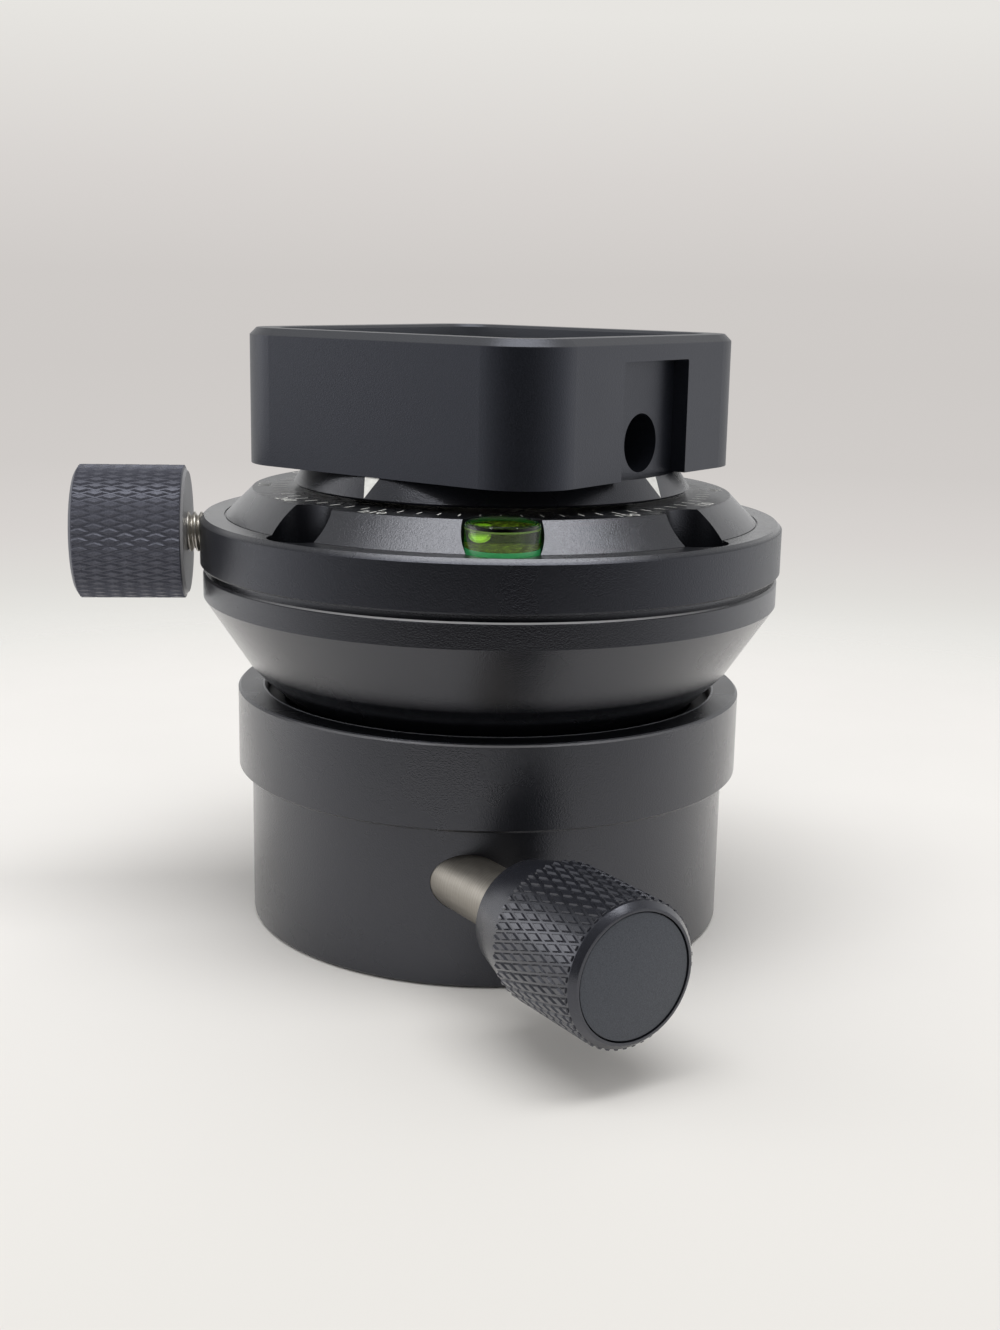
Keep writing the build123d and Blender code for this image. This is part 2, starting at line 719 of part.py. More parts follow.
with BuildPart() as level_vial:
    with BuildSketch(Plane.XY.offset(level_bottom_z)):
        with level_at:
            Circle(level_radius)
    extrude(amount=level_height)
    with BuildSketch(Plane.XY.offset(level_bottom_z)):
        with level_at:
            Circle(level_radius - level_wall)
    extrude(amount=level_height - level_lid, mode=Mode.SUBTRACT)
keep(level_vial.part, "level_vial")

with BuildPart() as level_liquid:
    with BuildSketch(Plane.XY.offset(level_bottom_z + level_floor)):
        with level_at:
            Circle(level_radius - level_wall - fixed_gap)
    extrude(amount=level_height - level_lid - level_floor)
    level_middle = Vector(cos(radians(level_azimuth)), sin(radians(level_azimuth)), 0) * level_circle
    with Locations(level_middle + Vector(-bubble_drift, 0, level_bottom_z + level_height - level_lid)):
        Sphere(bubble_radius, mode=Mode.SUBTRACT)
keep(level_liquid.part, "level_liquid")

# Pan bearing: bush in the ring, thrust washer, shaft with the lock's groove, retainer
with BuildPart() as pan_bush:
    with BuildSketch(Plane.XY.offset(hub_bottom_z)):
        Circle(pan_bush_radius)
        Circle(pan_shaft_radius + running_gap, mode=Mode.SUBTRACT)
    extrude(amount=scale_z - hub_bottom_z)
    with BuildSketch(pan_square):
        Circle(pan_shoe_radius + running_gap)
    extrude(amount=pan_bush_radius + cut_overrun, mode=Mode.SUBTRACT)
keep(pan_bush.part, "pan_bush")

with BuildPart() as thrust_washer:
    with BuildSketch(Plane.XY.offset(scale_z)):
        Circle(pan_shaft_radius + washer_bore_margin + washer_width)
        Circle(pan_shaft_radius + washer_bore_margin, mode=Mode.SUBTRACT)
    extrude(amount=washer_thickness)
keep(thrust_washer.part, "thrust_washer")

with BuildPart() as pan_shaft:
    with BuildSketch(Plane.XZ):
        with BuildLine():
            groove_half = pan_shoe_radius + groove_room
            Polyline(
                (0, shaft_bottom_z),
                (pan_shaft_radius, shaft_bottom_z),
                (pan_shaft_radius, pan_lock_z - groove_half),
                (pan_shaft_radius - pan_groove_depth, pan_lock_z - groove_half),
                (pan_shaft_radius - pan_groove_depth, pan_lock_z + groove_half),
                (pan_shaft_radius, pan_lock_z + groove_half),
                (pan_shaft_radius, disc_bottom_z),
                (0, disc_bottom_z),
                close=True,
            )
        make_face()
    revolve(axis=Axis.Z)
    with BuildSketch(Plane.XY.offset(shaft_bottom_z)):
        Circle(retainer_screw_radius + fixed_gap)
    extrude(amount=retainer_screw_length - retainer_thickness + screw_gap, mode=Mode.SUBTRACT)
    with BuildSketch(turned(disc_bottom_z)):
        with PolarLocations(receiver_screw_circle, receiver_screw_count):
            Circle(receiver_screw_radius + fixed_gap)
    screw_bottom_z = receiver_floor_z - receiver_screw_length - screw_gap
    extrude(amount=screw_bottom_z - disc_bottom_z, mode=Mode.SUBTRACT)
keep(pan_shaft.part, "pan_shaft")

with BuildPart(Plane.XY.offset(retainer_z)) as pan_retainer:
    Cylinder(pan_shaft_radius + retainer_overlap, retainer_thickness, align=upward)
    Cylinder(
        retainer_screw_radius + fixed_gap, retainer_thickness, align=upward, mode=Mode.SUBTRACT
    )
    Cone(
        retainer_screw_head + fixed_gap,
        retainer_screw_radius + fixed_gap,
        retainer_screw_head - retainer_screw_radius,
        align=upward,
        mode=Mode.SUBTRACT,
    )
keep(pan_retainer.part, "pan_retainer")

with BuildPart(Plane.XY.offset(retainer_z)) as retainer_screw:
    Cylinder(retainer_screw_radius, retainer_screw_length, align=upward)
    Cone(
        retainer_screw_head,
        retainer_screw_radius,
        retainer_screw_head - retainer_screw_radius,
        align=upward,
    )
keep(retainer_screw.part, "retainer_screw")

# Pan lock: shoe in the ring, screw, knob
with BuildPart() as pan_shoe:
    with BuildSketch(pan_square.offset(shoe_tip)):
        Circle(pan_shoe_radius)
    extrude(amount=pan_shoe_length)
keep(pan_shoe.part, "pan_shoe")

with BuildPart() as pan_lock_screw:
    with BuildSketch(pan_side):
        with BuildLine():
            Polyline(
                (shoe_end, 0),
                (shoe_end, pan_thread_radius),
                (pan_web, pan_thread_radius),
                (pan_web, knob_screw_radius + fixed_gap),
                (pan_floor - knob_screw_length - screw_gap, knob_screw_radius + fixed_gap),
                (pan_floor - knob_screw_length - screw_gap, 0),
                close=True,
            )
        make_face()
    revolve(axis=pan_line)
keep(pan_lock_screw.part, "pan_lock_screw")

with BuildPart() as pan_knob:
    with BuildSketch(pan_side):
        with BuildLine():
            Polyline(*pan_knob_points, close=True)
        make_face()
    revolve(axis=pan_line)
keep(pan_knob.part, "pan_knob")

with BuildPart() as pan_knob_cap:
    with BuildSketch(pan_square.offset(pan_floor)):
        Circle(pan_cap_radius)
    extrude(amount=knob_cap_thickness)
keep(pan_knob_cap.part, "pan_knob_cap")

with BuildPart() as pan_knob_screw:
    with BuildSketch(pan_side):
        with BuildLine():
            Polyline(*knob_screw_outline(pan_floor), close=True)
        make_face()
    revolve(axis=pan_line)
keep(pan_knob_screw.part, "pan_knob_screw")

# Index disc and receiver, screwed down on the pan shaft
with BuildPart() as index_disc:
    with BuildSketch(Plane.XZ):
        with BuildLine():
            Polyline(
                (0, disc_bottom_z),
                (disc_radius - disc_edge_chamfer, disc_bottom_z),
                (disc_radius, disc_bottom_z + disc_edge_chamfer),
                (disc_radius - disc_taper, disc_top_z),
                (0, disc_top_z),
                close=True,
            )
        make_face()
    revolve(axis=Axis.Z)
    with BuildSketch(turned(disc_bottom_z)):
        with PolarLocations(receiver_screw_circle, receiver_screw_count):
            Circle(receiver_screw_radius + screw_gap)
    extrude(amount=disc_height, mode=Mode.SUBTRACT)
keep(index_disc.part, "index_disc")

with BuildPart() as receiver_frame:
    with BuildSketch(turned(receiver_bottom_z)):
        RectangleRounded(receiver_side, receiver_side, receiver_corner)
    extrude(amount=receiver_height)
    top_edges = receiver_frame.faces().sort_by(Axis.Z)[-1].edges()
    chamfer(top_edges, length=receiver_top_chamfer)
    with BuildSketch(turned(receiver_bottom_z)):
        inner_side = receiver_side - receiver_wall - receiver_wall
        RectangleRounded(inner_side, inner_side, receiver_corner - receiver_wall)
    extrude(amount=receiver_height, mode=Mode.SUBTRACT)
    inner_edges = receiver_frame.faces().sort_by(Axis.Z)[-1].inner_wires()[0].edges()
    chamfer(inner_edges, length=receiver_inner_chamfer)
    with BuildSketch(side_face.offset(receiver_side / 2 - side_pocket_depth)):
        pocket_top = receiver_height - side_port_rise - side_pocket_top
        pocket_height = pocket_top + side_port_rise + side_pocket_corner + cut_overrun
        with Locations((side_pocket_shift, pocket_top - pocket_height / 2)):
            RectangleRounded(side_pocket_width, pocket_height, side_pocket_corner)
    extrude(amount=side_pocket_depth + cut_overrun, mode=Mode.SUBTRACT)
    with BuildSketch(side_face.offset(receiver_side / 2)):
        with Locations((side_pocket_shift, 0)):
            Circle(side_port_radius)
    extrude(amount=-side_pocket_depth - side_port_depth, mode=Mode.SUBTRACT)
keep(receiver_frame.part, "receiver_frame")

# Receiver base, pressed into the frame and screwed down on the pan shaft
with BuildPart() as receiver_base:
    with BuildSketch(turned(receiver_bottom_z)):
        base_side = inner_side - fixed_gap - fixed_gap
        RectangleRounded(base_side, base_side, receiver_corner - receiver_wall)
        with PolarLocations(receiver_screw_circle, receiver_screw_count):
            Circle(receiver_screw_radius + screw_gap, mode=Mode.SUBTRACT)
    extrude(amount=receiver_floor)
    with BuildSketch(side_face.offset(receiver_side / 2)):
        with Locations((side_pocket_shift, 0)):
            Circle(side_port_radius)
    extrude(amount=-side_pocket_depth - side_port_depth, mode=Mode.SUBTRACT)
    with Locations(turned(receiver_floor_z).location):
        with PolarLocations(receiver_screw_circle, receiver_screw_count):
            Cone(
                receiver_screw_radius + fixed_gap,
                receiver_screw_head + fixed_gap,
                receiver_screw_head - receiver_screw_radius,
                align=downward,
                mode=Mode.SUBTRACT,
            )
keep(receiver_base.part, "receiver_base")

with BuildPart(turned(receiver_floor_z)) as receiver_screws:
    with PolarLocations(receiver_screw_circle, receiver_screw_count):
        Cylinder(receiver_screw_radius, receiver_screw_length, align=downward)
        Cone(
            receiver_screw_radius,
            receiver_screw_head,
            receiver_screw_head - receiver_screw_radius,
            align=downward,
        )
keep(receiver_screws.part, "receiver_screws")

for part in made:
    print(f"{part.label:18s} {part.volume:10.1f} mm3  solids {len(part.solids())}")
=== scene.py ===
"""Tripod leveling head: finishes, knurls, threads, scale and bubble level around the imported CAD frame.

Lengths are in millimetres here and are turned to metres where a mesh is placed.
"""

import math

import bmesh
import bpy
from mathutils import Matrix, Vector


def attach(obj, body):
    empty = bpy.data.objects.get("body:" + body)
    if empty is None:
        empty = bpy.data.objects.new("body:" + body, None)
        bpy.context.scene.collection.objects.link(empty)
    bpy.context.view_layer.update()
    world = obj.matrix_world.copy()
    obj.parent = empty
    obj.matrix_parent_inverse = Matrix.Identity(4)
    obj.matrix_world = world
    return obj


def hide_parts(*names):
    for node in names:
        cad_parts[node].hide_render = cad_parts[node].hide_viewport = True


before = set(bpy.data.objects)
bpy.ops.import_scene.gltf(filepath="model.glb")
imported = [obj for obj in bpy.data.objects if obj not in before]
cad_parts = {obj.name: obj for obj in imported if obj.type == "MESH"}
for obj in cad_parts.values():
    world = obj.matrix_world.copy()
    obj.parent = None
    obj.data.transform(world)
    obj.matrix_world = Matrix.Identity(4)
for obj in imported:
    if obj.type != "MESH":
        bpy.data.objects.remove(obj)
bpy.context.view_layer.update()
MM = 0.001

# Sizes of the turned pieces, the same as in the part's source
TILT_AZIMUTH = -57.1
TILT_OFFSET = 21.5
TILT_HEIGHT = 15.418
PAN_AZIMUTH = 184.6
PAN_HEIGHT = 58.968
RING_RADIUS = 43.983
SCALE_RADIUS = 36.083
SCALE_HEIGHT = 66.018
LEVEL_AZIMUTH = -87.6
LEVEL_CIRCLE = 37.283
LEVEL_FLOOR = 58.018
LEVEL_SIDE = 4.42  # from the pocket's floor to the top of the level base's side
LEVEL_POCKET = 5.6
SCREW_CIRCLE = 38.583
SCREW_SEAT = 56.168
DISC_FOOT = 66.718
DISC_TOP = 69.818
DISC_RADIUS = 29.883
DISC_TOP_RADIUS = 28.083
RECEIVER_TURN = -37.2
RECEIVER_FLOOR = 80.318
RECEIVER_TOP = 89.518
# Each knob along its axis: where it starts, its collar, its knurled sleeve and its rounded nose
TILT_KNOB_START = 42.919
TILT_KNOB_LENGTHS = (7.3, 15.6, 1.1)
PAN_KNOB_START = 45.783
PAN_KNOB_LENGTHS = (0.5, 15.4, 0.6)
CAP_RECESS = 1.7
# Radii in both knobs for their end screw's countersunk head and its shank
SCREW_HEAD = 2.92
SCREW_HOLE = 1.52
SHOE_END = 20.0


def axis_frame(azimuth, offset, height):
    """Where a lock's axis lies: X runs out along it to the knob, Z is up."""
    a = math.radians(azimuth)
    along = Vector((math.cos(a), math.sin(a), 0))
    across = Vector((-along.y, along.x, 0))
    turn = Matrix((along, across, (0, 0, 1))).transposed().to_4x4()
    return Matrix.Translation(across * -offset + Vector((0, 0, height))) @ turn


TILT_AXIS = axis_frame(TILT_AZIMUTH, TILT_OFFSET, TILT_HEIGHT)
PAN_AXIS = axis_frame(PAN_AZIMUTH, 0, PAN_HEIGHT)
UPRIGHT = Matrix.Rotation(-math.pi / 2, 4, "Y")
HANGING = Matrix.Rotation(math.pi / 2, 4, "Y")


# Finishes


def tone(code):
    """An sRGB hex value as linear colour."""
    parts = [int(code[i : i + 2], 16) / 255 for i in (1, 3, 5)]
    return [c / 12.92 if c <= 0.04045 else ((c + 0.055) / 1.055) ** 2.4 for c in parts] + [1]


def add(tree, kind, settings=(), **sockets):
    """Adds a node, with its settings, its socket values and its links."""
    made = tree.nodes.new(kind)
    for name, value in dict(settings).items():
        setattr(made, name, value)
    for name, value in sockets.items():
        socket = made.inputs[int(name[1:])] if name[1:].isdigit() else made.inputs[name.replace("_", " ")]
        if isinstance(value, bpy.types.NodeSocket):
            tree.links.new(value, socket)
        else:
            socket.default_value = value
    return made


def stops(ramp, points):
    """Sets a colour ramp's stops: (place, colour) in rising order."""
    bar = ramp.color_ramp
    while len(bar.elements) < len(points):
        bar.elements.new(0.5)
    for element, (place, colour) in zip(bar.elements, points):
        element.position = place
        element.color = colour


def scaled(colour, share):
    """A linear colour made darker or lighter, kept in range."""
    return [min(1, c * share) for c in colour[:3]] + [1]


def over(tree, share, under, colour):
    """Lays a plain colour over a colour socket by a share, and gives back the blend."""
    return add(tree, "ShaderNodeMix", {"data_type": "RGBA"}, s0=share, s6=under, s7=tone(colour)).outputs[2]


def across(tree, place):
    """The part of a place that lies across the upright axis."""
    return add(tree, "ShaderNodeVectorMath", {"operation": "MULTIPLY"}, s0=place, s1=(1, 1, 0)).outputs[0]


def from_axis(tree, place):
    """How far a place is from the upright axis."""
    return add(tree, "ShaderNodeVectorMath", {"operation": "LENGTH"}, s0=across(tree, place)).outputs["Value"]


def fade(tree, value, start, end, low=0.0, high=1.0):
    """Runs from low to high while a length goes from start to end, both in millimetres."""
    made = add(tree, "ShaderNodeMapRange", Value=value, From_Min=start * MM, From_Max=end * MM)
    made.inputs["To Min"].default_value = low
    made.inputs["To Max"].default_value = high
    return made.outputs["Result"]


def product(tree, first, *others):
    """Multiplies masks."""
    for other in others:
        first = add(tree, "ShaderNodeMath", {"operation": "MULTIPLY"}, s0=first, s1=other).outputs[0]
    return first


def new_finish(name):
    """An empty material and its shader."""
    material = bpy.data.materials.new(name)
    material.use_nodes = True
    tree = material.node_tree
    return material, tree, tree.nodes["Principled BSDF"]


def blasted_anodised(name, colour, roughness, grain, depth, coat=0.0, ior=1.52):
    """Black anodised aluminium, bead-blasted before its dye.

    The dyed oxide is nearly black and dielectric, so what shows is a satin sheen with a fine
    speckle. The grit leaves dents of about 0.05 mm, drawn coarser here so that they show.
    """
    material, tree, shader = new_finish(name)
    place = add(tree, "ShaderNodeTexCoord").outputs["Object"]
    grit = add(tree, "ShaderNodeTexNoise", Vector=place, Scale=1 / (grain * MM), Detail=2.0, Roughness=0.6)
    cloud = add(tree, "ShaderNodeTexNoise", Vector=place, Scale=1 / (14 * MM), Detail=3.0)
    sheen = add(
        tree,
        "ShaderNodeMapRange",
        Value=cloud.outputs["Fac"],
        From_Min=0.3,
        From_Max=0.7,
        To_Min=roughness - 0.03,
        To_Max=roughness + 0.04,
    )
    dye = add(tree, "ShaderNodeValToRGB", Fac=grit.outputs["Fac"])
    base = tone(colour)
    stops(dye, [(0.3, scaled(base, 0.75)), (0.7, scaled(base, 1.35))])
    dents = add(tree, "ShaderNodeBump", Strength=depth, Distance=0.04 * MM, Height=grit.outputs["Fac"])
    shader.inputs["IOR"].default_value = ior
    shader.inputs["Coat Weight"].default_value = coat
    shader.inputs["Coat Roughness"].default_value = 0.22
    shader.inputs["Specular Tint"].default_value = tone("#e8ecff")
    tree.links.new(dye.outputs["Color"], shader.inputs["Base Color"])
    tree.links.new(sheen.outputs["Result"], shader.inputs["Roughness"])
    tree.links.new(dents.outputs["Normal"], shader.inputs["Normal"])
    tree.links.new(dents.outputs["Normal"], shader.inputs["Coat Normal"])
    return material


def turned_metal(name, colour, roughness, placing, spacing, depth, metallic=1.0):
    """Metal turned on a lathe: fine rings round the axis that the placing matrix's X follows.

    The rings spread a highlight into a band across the turning. The tool's feed is under 0.1 mm,
    drawn a little coarser here so that it shows.
    """
    material, tree, shader = new_finish(name)
    place = add(tree, "ShaderNodeTexCoord").outputs["Object"]
    back = placing.inverted().to_euler()
    local = add(tree, "ShaderNodeMapping", {"vector_type": "POINT"}, Vector=place, Rotation=back)
    along = add(tree, "ShaderNodeSeparateXYZ", Vector=local.outputs["Vector"]).outputs["X"]
    rings = add(
        tree,
        "ShaderNodeTexNoise",
        {"noise_dimensions": "1D"},
        W=along,
        Scale=1 / (spacing * MM),
        Detail=3.0,
        Roughness=0.7,
    )
    grain = add(tree, "ShaderNodeTexNoise", Vector=place, Scale=1 / (1.5 * MM), Detail=2.0)
    wear_and_highlight = add(
        tree,
        "ShaderNodeMapRange",
        Value=grain.outputs["Fac"],
        To_Min=roughness - 0.06,
        To_Max=roughness + 0.08,
    )
    shade = add(tree, "ShaderNodeValToRGB", Fac=rings.outputs["Fac"])
    base = tone(colour)
    stops(shade, [(0.25, scaled(base, 0.72)), (0.75, scaled(base, 1.15))])
    ridges = add(tree, "ShaderNodeBump", Strength=depth, Distance=0.02 * MM, Height=rings.outputs["Fac"])
    shader.inputs["Metallic"].default_value = metallic
    tree.links.new(shade.outputs["Color"], shader.inputs["Base Color"])
    tree.links.new(wear_and_highlight.outputs["Result"], shader.inputs["Roughness"])
    tree.links.new(ridges.outputs["Normal"], shader.inputs["Normal"])
    return material


def moulded(name, colour, roughness):
    """Moulded plastic and paint: a smooth skin whose faint waviness softens its highlight."""
    material, tree, shader = new_finish(name)
    place = add(tree, "ShaderNodeTexCoord").outputs["Object"]
    skin = add(tree, "ShaderNodeTexNoise", Vector=place, Scale=1 / (0.6 * MM), Detail=2.0)
    base = tone(colour)
    shade = add(tree, "ShaderNodeValToRGB", Fac=skin.outputs["Fac"])
    stops(shade, [(0.3, scaled(base, 0.9)), (0.7, scaled(base, 1.06))])
    orange_peel = add(tree, "ShaderNodeBump", Strength=0.15, Distance=0.01 * MM, Height=skin.outputs["Fac"])
    shader.inputs["Roughness"].default_value = roughness
    tree.links.new(shade.outputs["Color"], shader.inputs["Base Color"])
    tree.links.new(orange_peel.outputs["Normal"], shader.inputs["Normal"])
    return material


def clear(name, colour, roughness, ior):
    """Clear acrylic or liquid, which bends what lies behind it and tints it."""
    material, tree, shader = new_finish(name)
    place = add(tree, "ShaderNodeTexCoord").outputs["Object"]
    haze = add(tree, "ShaderNodeTexNoise", Vector=place, Scale=1 / (2.5 * MM), Detail=1.0)
    base = tone(colour)
    tint = add(tree, "ShaderNodeValToRGB", Fac=haze.outputs["Fac"])
    stops(tint, [(0.2, scaled(base, 0.94)), (0.8, base)])
    shader.inputs["Roughness"].default_value = roughness
    shader.inputs["IOR"].default_value = ior
    shader.inputs["Transmission Weight"].default_value = 1.0
    tree.links.new(tint.outputs["Color"], shader.inputs["Base Color"])
    return material


# After each colour: roughness, grit in millimetres, depth of its dents, clear coat and IOR.
# The cup and bowl get painted highlights on their edges, the receiver painted light on its rim and walls, the
# ring and cup duller walls and the pan knob a light grey end, further on
anodised = blasted_anodised("black_bead_blasted_anodised_aluminium", "#0f1013", 0.28, 0.22, 1.0, 0.65, 1.58)
# The cup's finish; its lip and outer chamfer get painted highlights further on
cup_anodised = blasted_anodised("black_anodised_with_a_painted_highlight_lip", "#0f1013", 0.28, 0.22, 1.0, 0.65, 1.58)
ring_anodised = blasted_anodised(
    "black_anodised_with_a_fine_turned_wall", "#0f1013", 0.28, 0.22, 1.0, 1.0, 1.58
)
# The bowl's finish; its rim gets a painted highlight further on
bowl_anodised_painted_highlight = blasted_anodised("black_anodised_with_a_painted_highlight_edge", "#0d0e11", 0.25, 0.22, 0.8, 0.65, 1.52)
milled_anodised = blasted_anodised("black_milled_anodised_aluminium", "#13151a", 0.33, 0.22, 0.7, 0.0, 1.58)
bore_anodised = blasted_anodised("black_anodised_turned_seat", "#08080a", 0.45, 0.22, 0.3, 0.0, 1.4)
# Both knobs are one black anodised finish: the pan knob's copy is painted lighter and the tilt knob's darker,
# as painted light and painted shade for how the light falls on each
pan_knob_painted_lighter = blasted_anodised("knurled_anodised_aluminium_painted_lighter", "#4a4b53", 0.36, 0.18, 0.2)
tilt_knob_painted_darker = blasted_anodised("knurled_anodised_aluminium_painted_darker", "#1e1f24", 0.26, 0.18, 0.2, 0.6, 1.6)
cap_anodised = blasted_anodised("black_fine_blasted_cap", "#3e4145", 0.44, 0.16, 0.6)
# After each colour: roughness, the axis it was turned on, spacing of its rings in millimetres and depth
rod_steel = turned_metal("turned_stainless_steel_rod", "#a5a098", 0.42, TILT_AXIS, 0.16, 0.5)
thread_steel = turned_metal("rolled_stainless_steel_thread", "#dcd8d0", 0.4, PAN_AXIS, 0.2, 0.1)
upright_steel = turned_metal("turned_steel", "#a5a29c", 0.32, UPRIGHT, 0.2, 0.3)
plain_aluminium = turned_metal("turned_bare_aluminium", "#a9abad", 0.38, UPRIGHT, 0.25, 0.3)
bearing_brass = turned_metal("turned_bearing_brass", "#b08d4f", 0.33, UPRIGHT, 0.25, 0.3)
ground_steel = turned_metal("ground_hardened_steel", "#8d8f92", 0.22, TILT_AXIS, 0.12, 0.2)
black_oxide = turned_metal("black_oxide_steel", "#2a2a2c", 0.4, UPRIGHT, 0.2, 0.2, 0.6)
acetal = moulded("moulded_acetal", "#d9d5c8", 0.45)
mark_paint = moulded("white_scale_paint", "#e4e4e0", 0.55)
vial_acrylic = clear("clear_level_acrylic", "#f2faec", 0.03, 1.49)
# A pale green painted highlight for the vial's rounded edge and lid rim
vial_edge_highlight = moulded("pale_green_painted_highlight_level_edge", "#c6e39a", 0.35)
green_liquid = clear("green_level_liquid", "#cfe394", 0.0, 1.36)
bubble_skin = clear("bubble_lit_from_below", "#e4f5b0", 0.0, 1.36)


def glow_below(material, dark, bright, colour, strength):
    """Lights a piece's lower half, from no glow at one height to the full one at a lower height."""
    tree = material.node_tree
    shader = tree.nodes["Principled BSDF"]
    place = add(tree, "ShaderNodeTexCoord").outputs["Object"]
    height = add(tree, "ShaderNodeSeparateXYZ", Vector=place).outputs["Z"]
    shader.inputs["Emission Color"].default_value = tone(colour)
    tree.links.new(fade(tree, height, dark, bright, 0.0, strength), shader.inputs["Emission Strength"])


glow_below(bubble_skin, LEVEL_FLOOR + 6.8, LEVEL_FLOOR + 5.7, "#a9e23f", 0.5)


def level_base_finish():
    """The level's base: an emerald side and a mottled olive top under the liquid, both with a painted glow in
    their own colour for the light that reaches them through the vial.
    """
    material, tree, shader = new_finish("emerald_level_base")
    place = add(tree, "ShaderNodeTexCoord").outputs["Object"]
    height = add(tree, "ShaderNodeSeparateXYZ", Vector=place).outputs["Z"]
    blotch = add(tree, "ShaderNodeTexNoise", Vector=place, Scale=1 / (0.6 * MM), Detail=3.0, Roughness=0.7)
    mottle = add(tree, "ShaderNodeValToRGB", Fac=blotch.outputs["Fac"])
    stops(mottle, [(0.4, tone("#3b2a1c")), (0.52, tone("#5d6a2c")), (0.66, tone("#a9c046"))])
    side_top = LEVEL_FLOOR + LEVEL_SIDE
    side = fade(tree, height, side_top + 0.04, side_top)
    dye = over(tree, side, mottle.outputs["Color"], "#3fa568")
    tree.links.new(dye, shader.inputs["Base Color"])
    # Painted glow: the base's colour is also its emission, standing in for the light that comes in through
    # the vial
    tree.links.new(dye, shader.inputs["Emission Color"])
    shader.inputs["Emission Strength"].default_value = 0.25
    shader.inputs["Roughness"].default_value = 0.35
    return material


level_green = level_base_finish()


def paint_edge_highlight(material, low, high, inner, outer, start, full, colour):
    """Lays a painted highlight on a turned edge between two heights and two radii, fading in along Y."""
    tree = material.node_tree
    shader = tree.nodes["Principled BSDF"]
    dye = shader.inputs["Base Color"].links[0].from_socket
    place = add(tree, "ShaderNodeTexCoord").outputs["Object"]
    split = add(tree, "ShaderNodeSeparateXYZ", Vector=place)
    above = fade(tree, split.outputs["Z"], low - 0.02, low + 0.02)
    below = fade(tree, split.outputs["Z"], high + 0.02, high - 0.02)
    out = from_axis(tree, place)
    outside = fade(tree, out, inner - 0.02, inner + 0.02)
    within = fade(tree, out, outer + 0.02, outer - 0.02)
    front = fade(tree, split.outputs["Y"], start, full)
    # The painted highlight: a light colour laid over the dye where the edge catches the light
    wear_and_highlight = over(tree, product(tree, above, below, outside, within, front), dye, colour)
    tree.links.new(wear_and_highlight, shader.inputs["Base Color"])


# Painted highlight on the top 0.2 mm of the bowl's rim, towards the front
paint_edge_highlight(
    bowl_anodised_painted_highlight, low=53.47, high=53.75, inner=43.1, outer=44.0, start=-27, full=-42, colour="#c4c4c6"
)
# Painted highlights on the cup's flat beside its bore, all round, and on its outer chamfer towards the front
paint_edge_highlight(
    cup_anodised, low=35.9, high=36.1, inner=34.5, outer=34.88, start=60, full=40, colour="#9a9ca2"
)
paint_edge_highlight(
    cup_anodised, low=35.6, high=36.1, inner=38.35, outer=39.0, start=-18, full=-36, colour="#747476"
)


def dull_wall(material, face, wall):
    """Leaves the ring's blasted slope glossier than its flat face, inside, and its turned wall, outside."""
    tree = material.node_tree
    out = from_axis(tree, add(tree, "ShaderNodeTexCoord").outputs["Object"])
    inner = fade(tree, out, face, face + 0.2, 0.35, 1)
    outer = fade(tree, out, wall - 0.4, wall - 0.1, 1, 0.15)
    tree.links.new(product(tree, inner, outer), tree.nodes["Principled BSDF"].inputs["Coat Weight"])


def dull_bore(material, radius, gloss):
    """Leaves the turned inside of the cup, within a radius, duller than its blasted outside."""
    tree = material.node_tree
    out = from_axis(tree, add(tree, "ShaderNodeTexCoord").outputs["Object"])
    coat = fade(tree, out, radius, radius + 0.1, 0, gloss)
    tree.links.new(coat, tree.nodes["Principled BSDF"].inputs["Coat Weight"])


dull_wall(ring_anodised, SCALE_RADIUS - 0.1, RING_RADIUS)
dull_bore(cup_anodised, 34.25, 0.65)


def lighten_rim(material, height, rim_colour, wall_colour):
    """Lightens the receiver's top rim, above a height, as painted light from above, and its inner walls,
    which face its axis, partly as a lighter milled surface and partly as painted light.
    """
    tree = material.node_tree
    shader = tree.nodes["Principled BSDF"]
    dye = shader.inputs["Base Color"].links[0].from_socket
    where = add(tree, "ShaderNodeTexCoord")
    rise = add(tree, "ShaderNodeSeparateXYZ", Vector=where.outputs["Object"]).outputs["Z"]
    outward = across(tree, where.outputs["Object"])
    # How far out a face lies from the axis, along its own normal: -23.65 mm on the inner walls
    facing = add(
        tree, "ShaderNodeVectorMath", {"operation": "DOT_PRODUCT"}, s0=outward, s1=where.outputs["Normal"]
    )
    # Painted light: the top rim is coloured lighter, as if lit from above
    lit_rim = over(tree, fade(tree, rise, height - 0.1, height + 0.1), dye, rim_colour)
    lighter = over(tree, fade(tree, facing.outputs["Value"], -18, -22), lit_rim, wall_colour)
    tree.links.new(lighter, shader.inputs["Base Color"])


# Painted light on the receiver's top rim and, in part, on its inner walls
lighten_rim(milled_anodised, RECEIVER_TOP - 1.0, "#3a3b3d", "#44464a")


def grey_knob_end(material, axis, place, colour):
    """Paints a knob's end that faces the ring a light grey."""
    tree = material.node_tree
    shader = tree.nodes["Principled BSDF"]
    dye = shader.inputs["Base Color"].links[0].from_socket
    where = add(tree, "ShaderNodeTexCoord").outputs["Object"]
    along = add(tree, "ShaderNodeVectorMath", {"operation": "DOT_PRODUCT"}, s0=where, s1=axis.to_3x3().col[0])
    grey_end = over(tree, fade(tree, along.outputs["Value"], place + 0.1, place), dye, colour)
    tree.links.new(grey_end, shader.inputs["Base Color"])


grey_knob_end(pan_knob_painted_lighter, PAN_AXIS, PAN_KNOB_START + 0.3, "#9a9a9c")

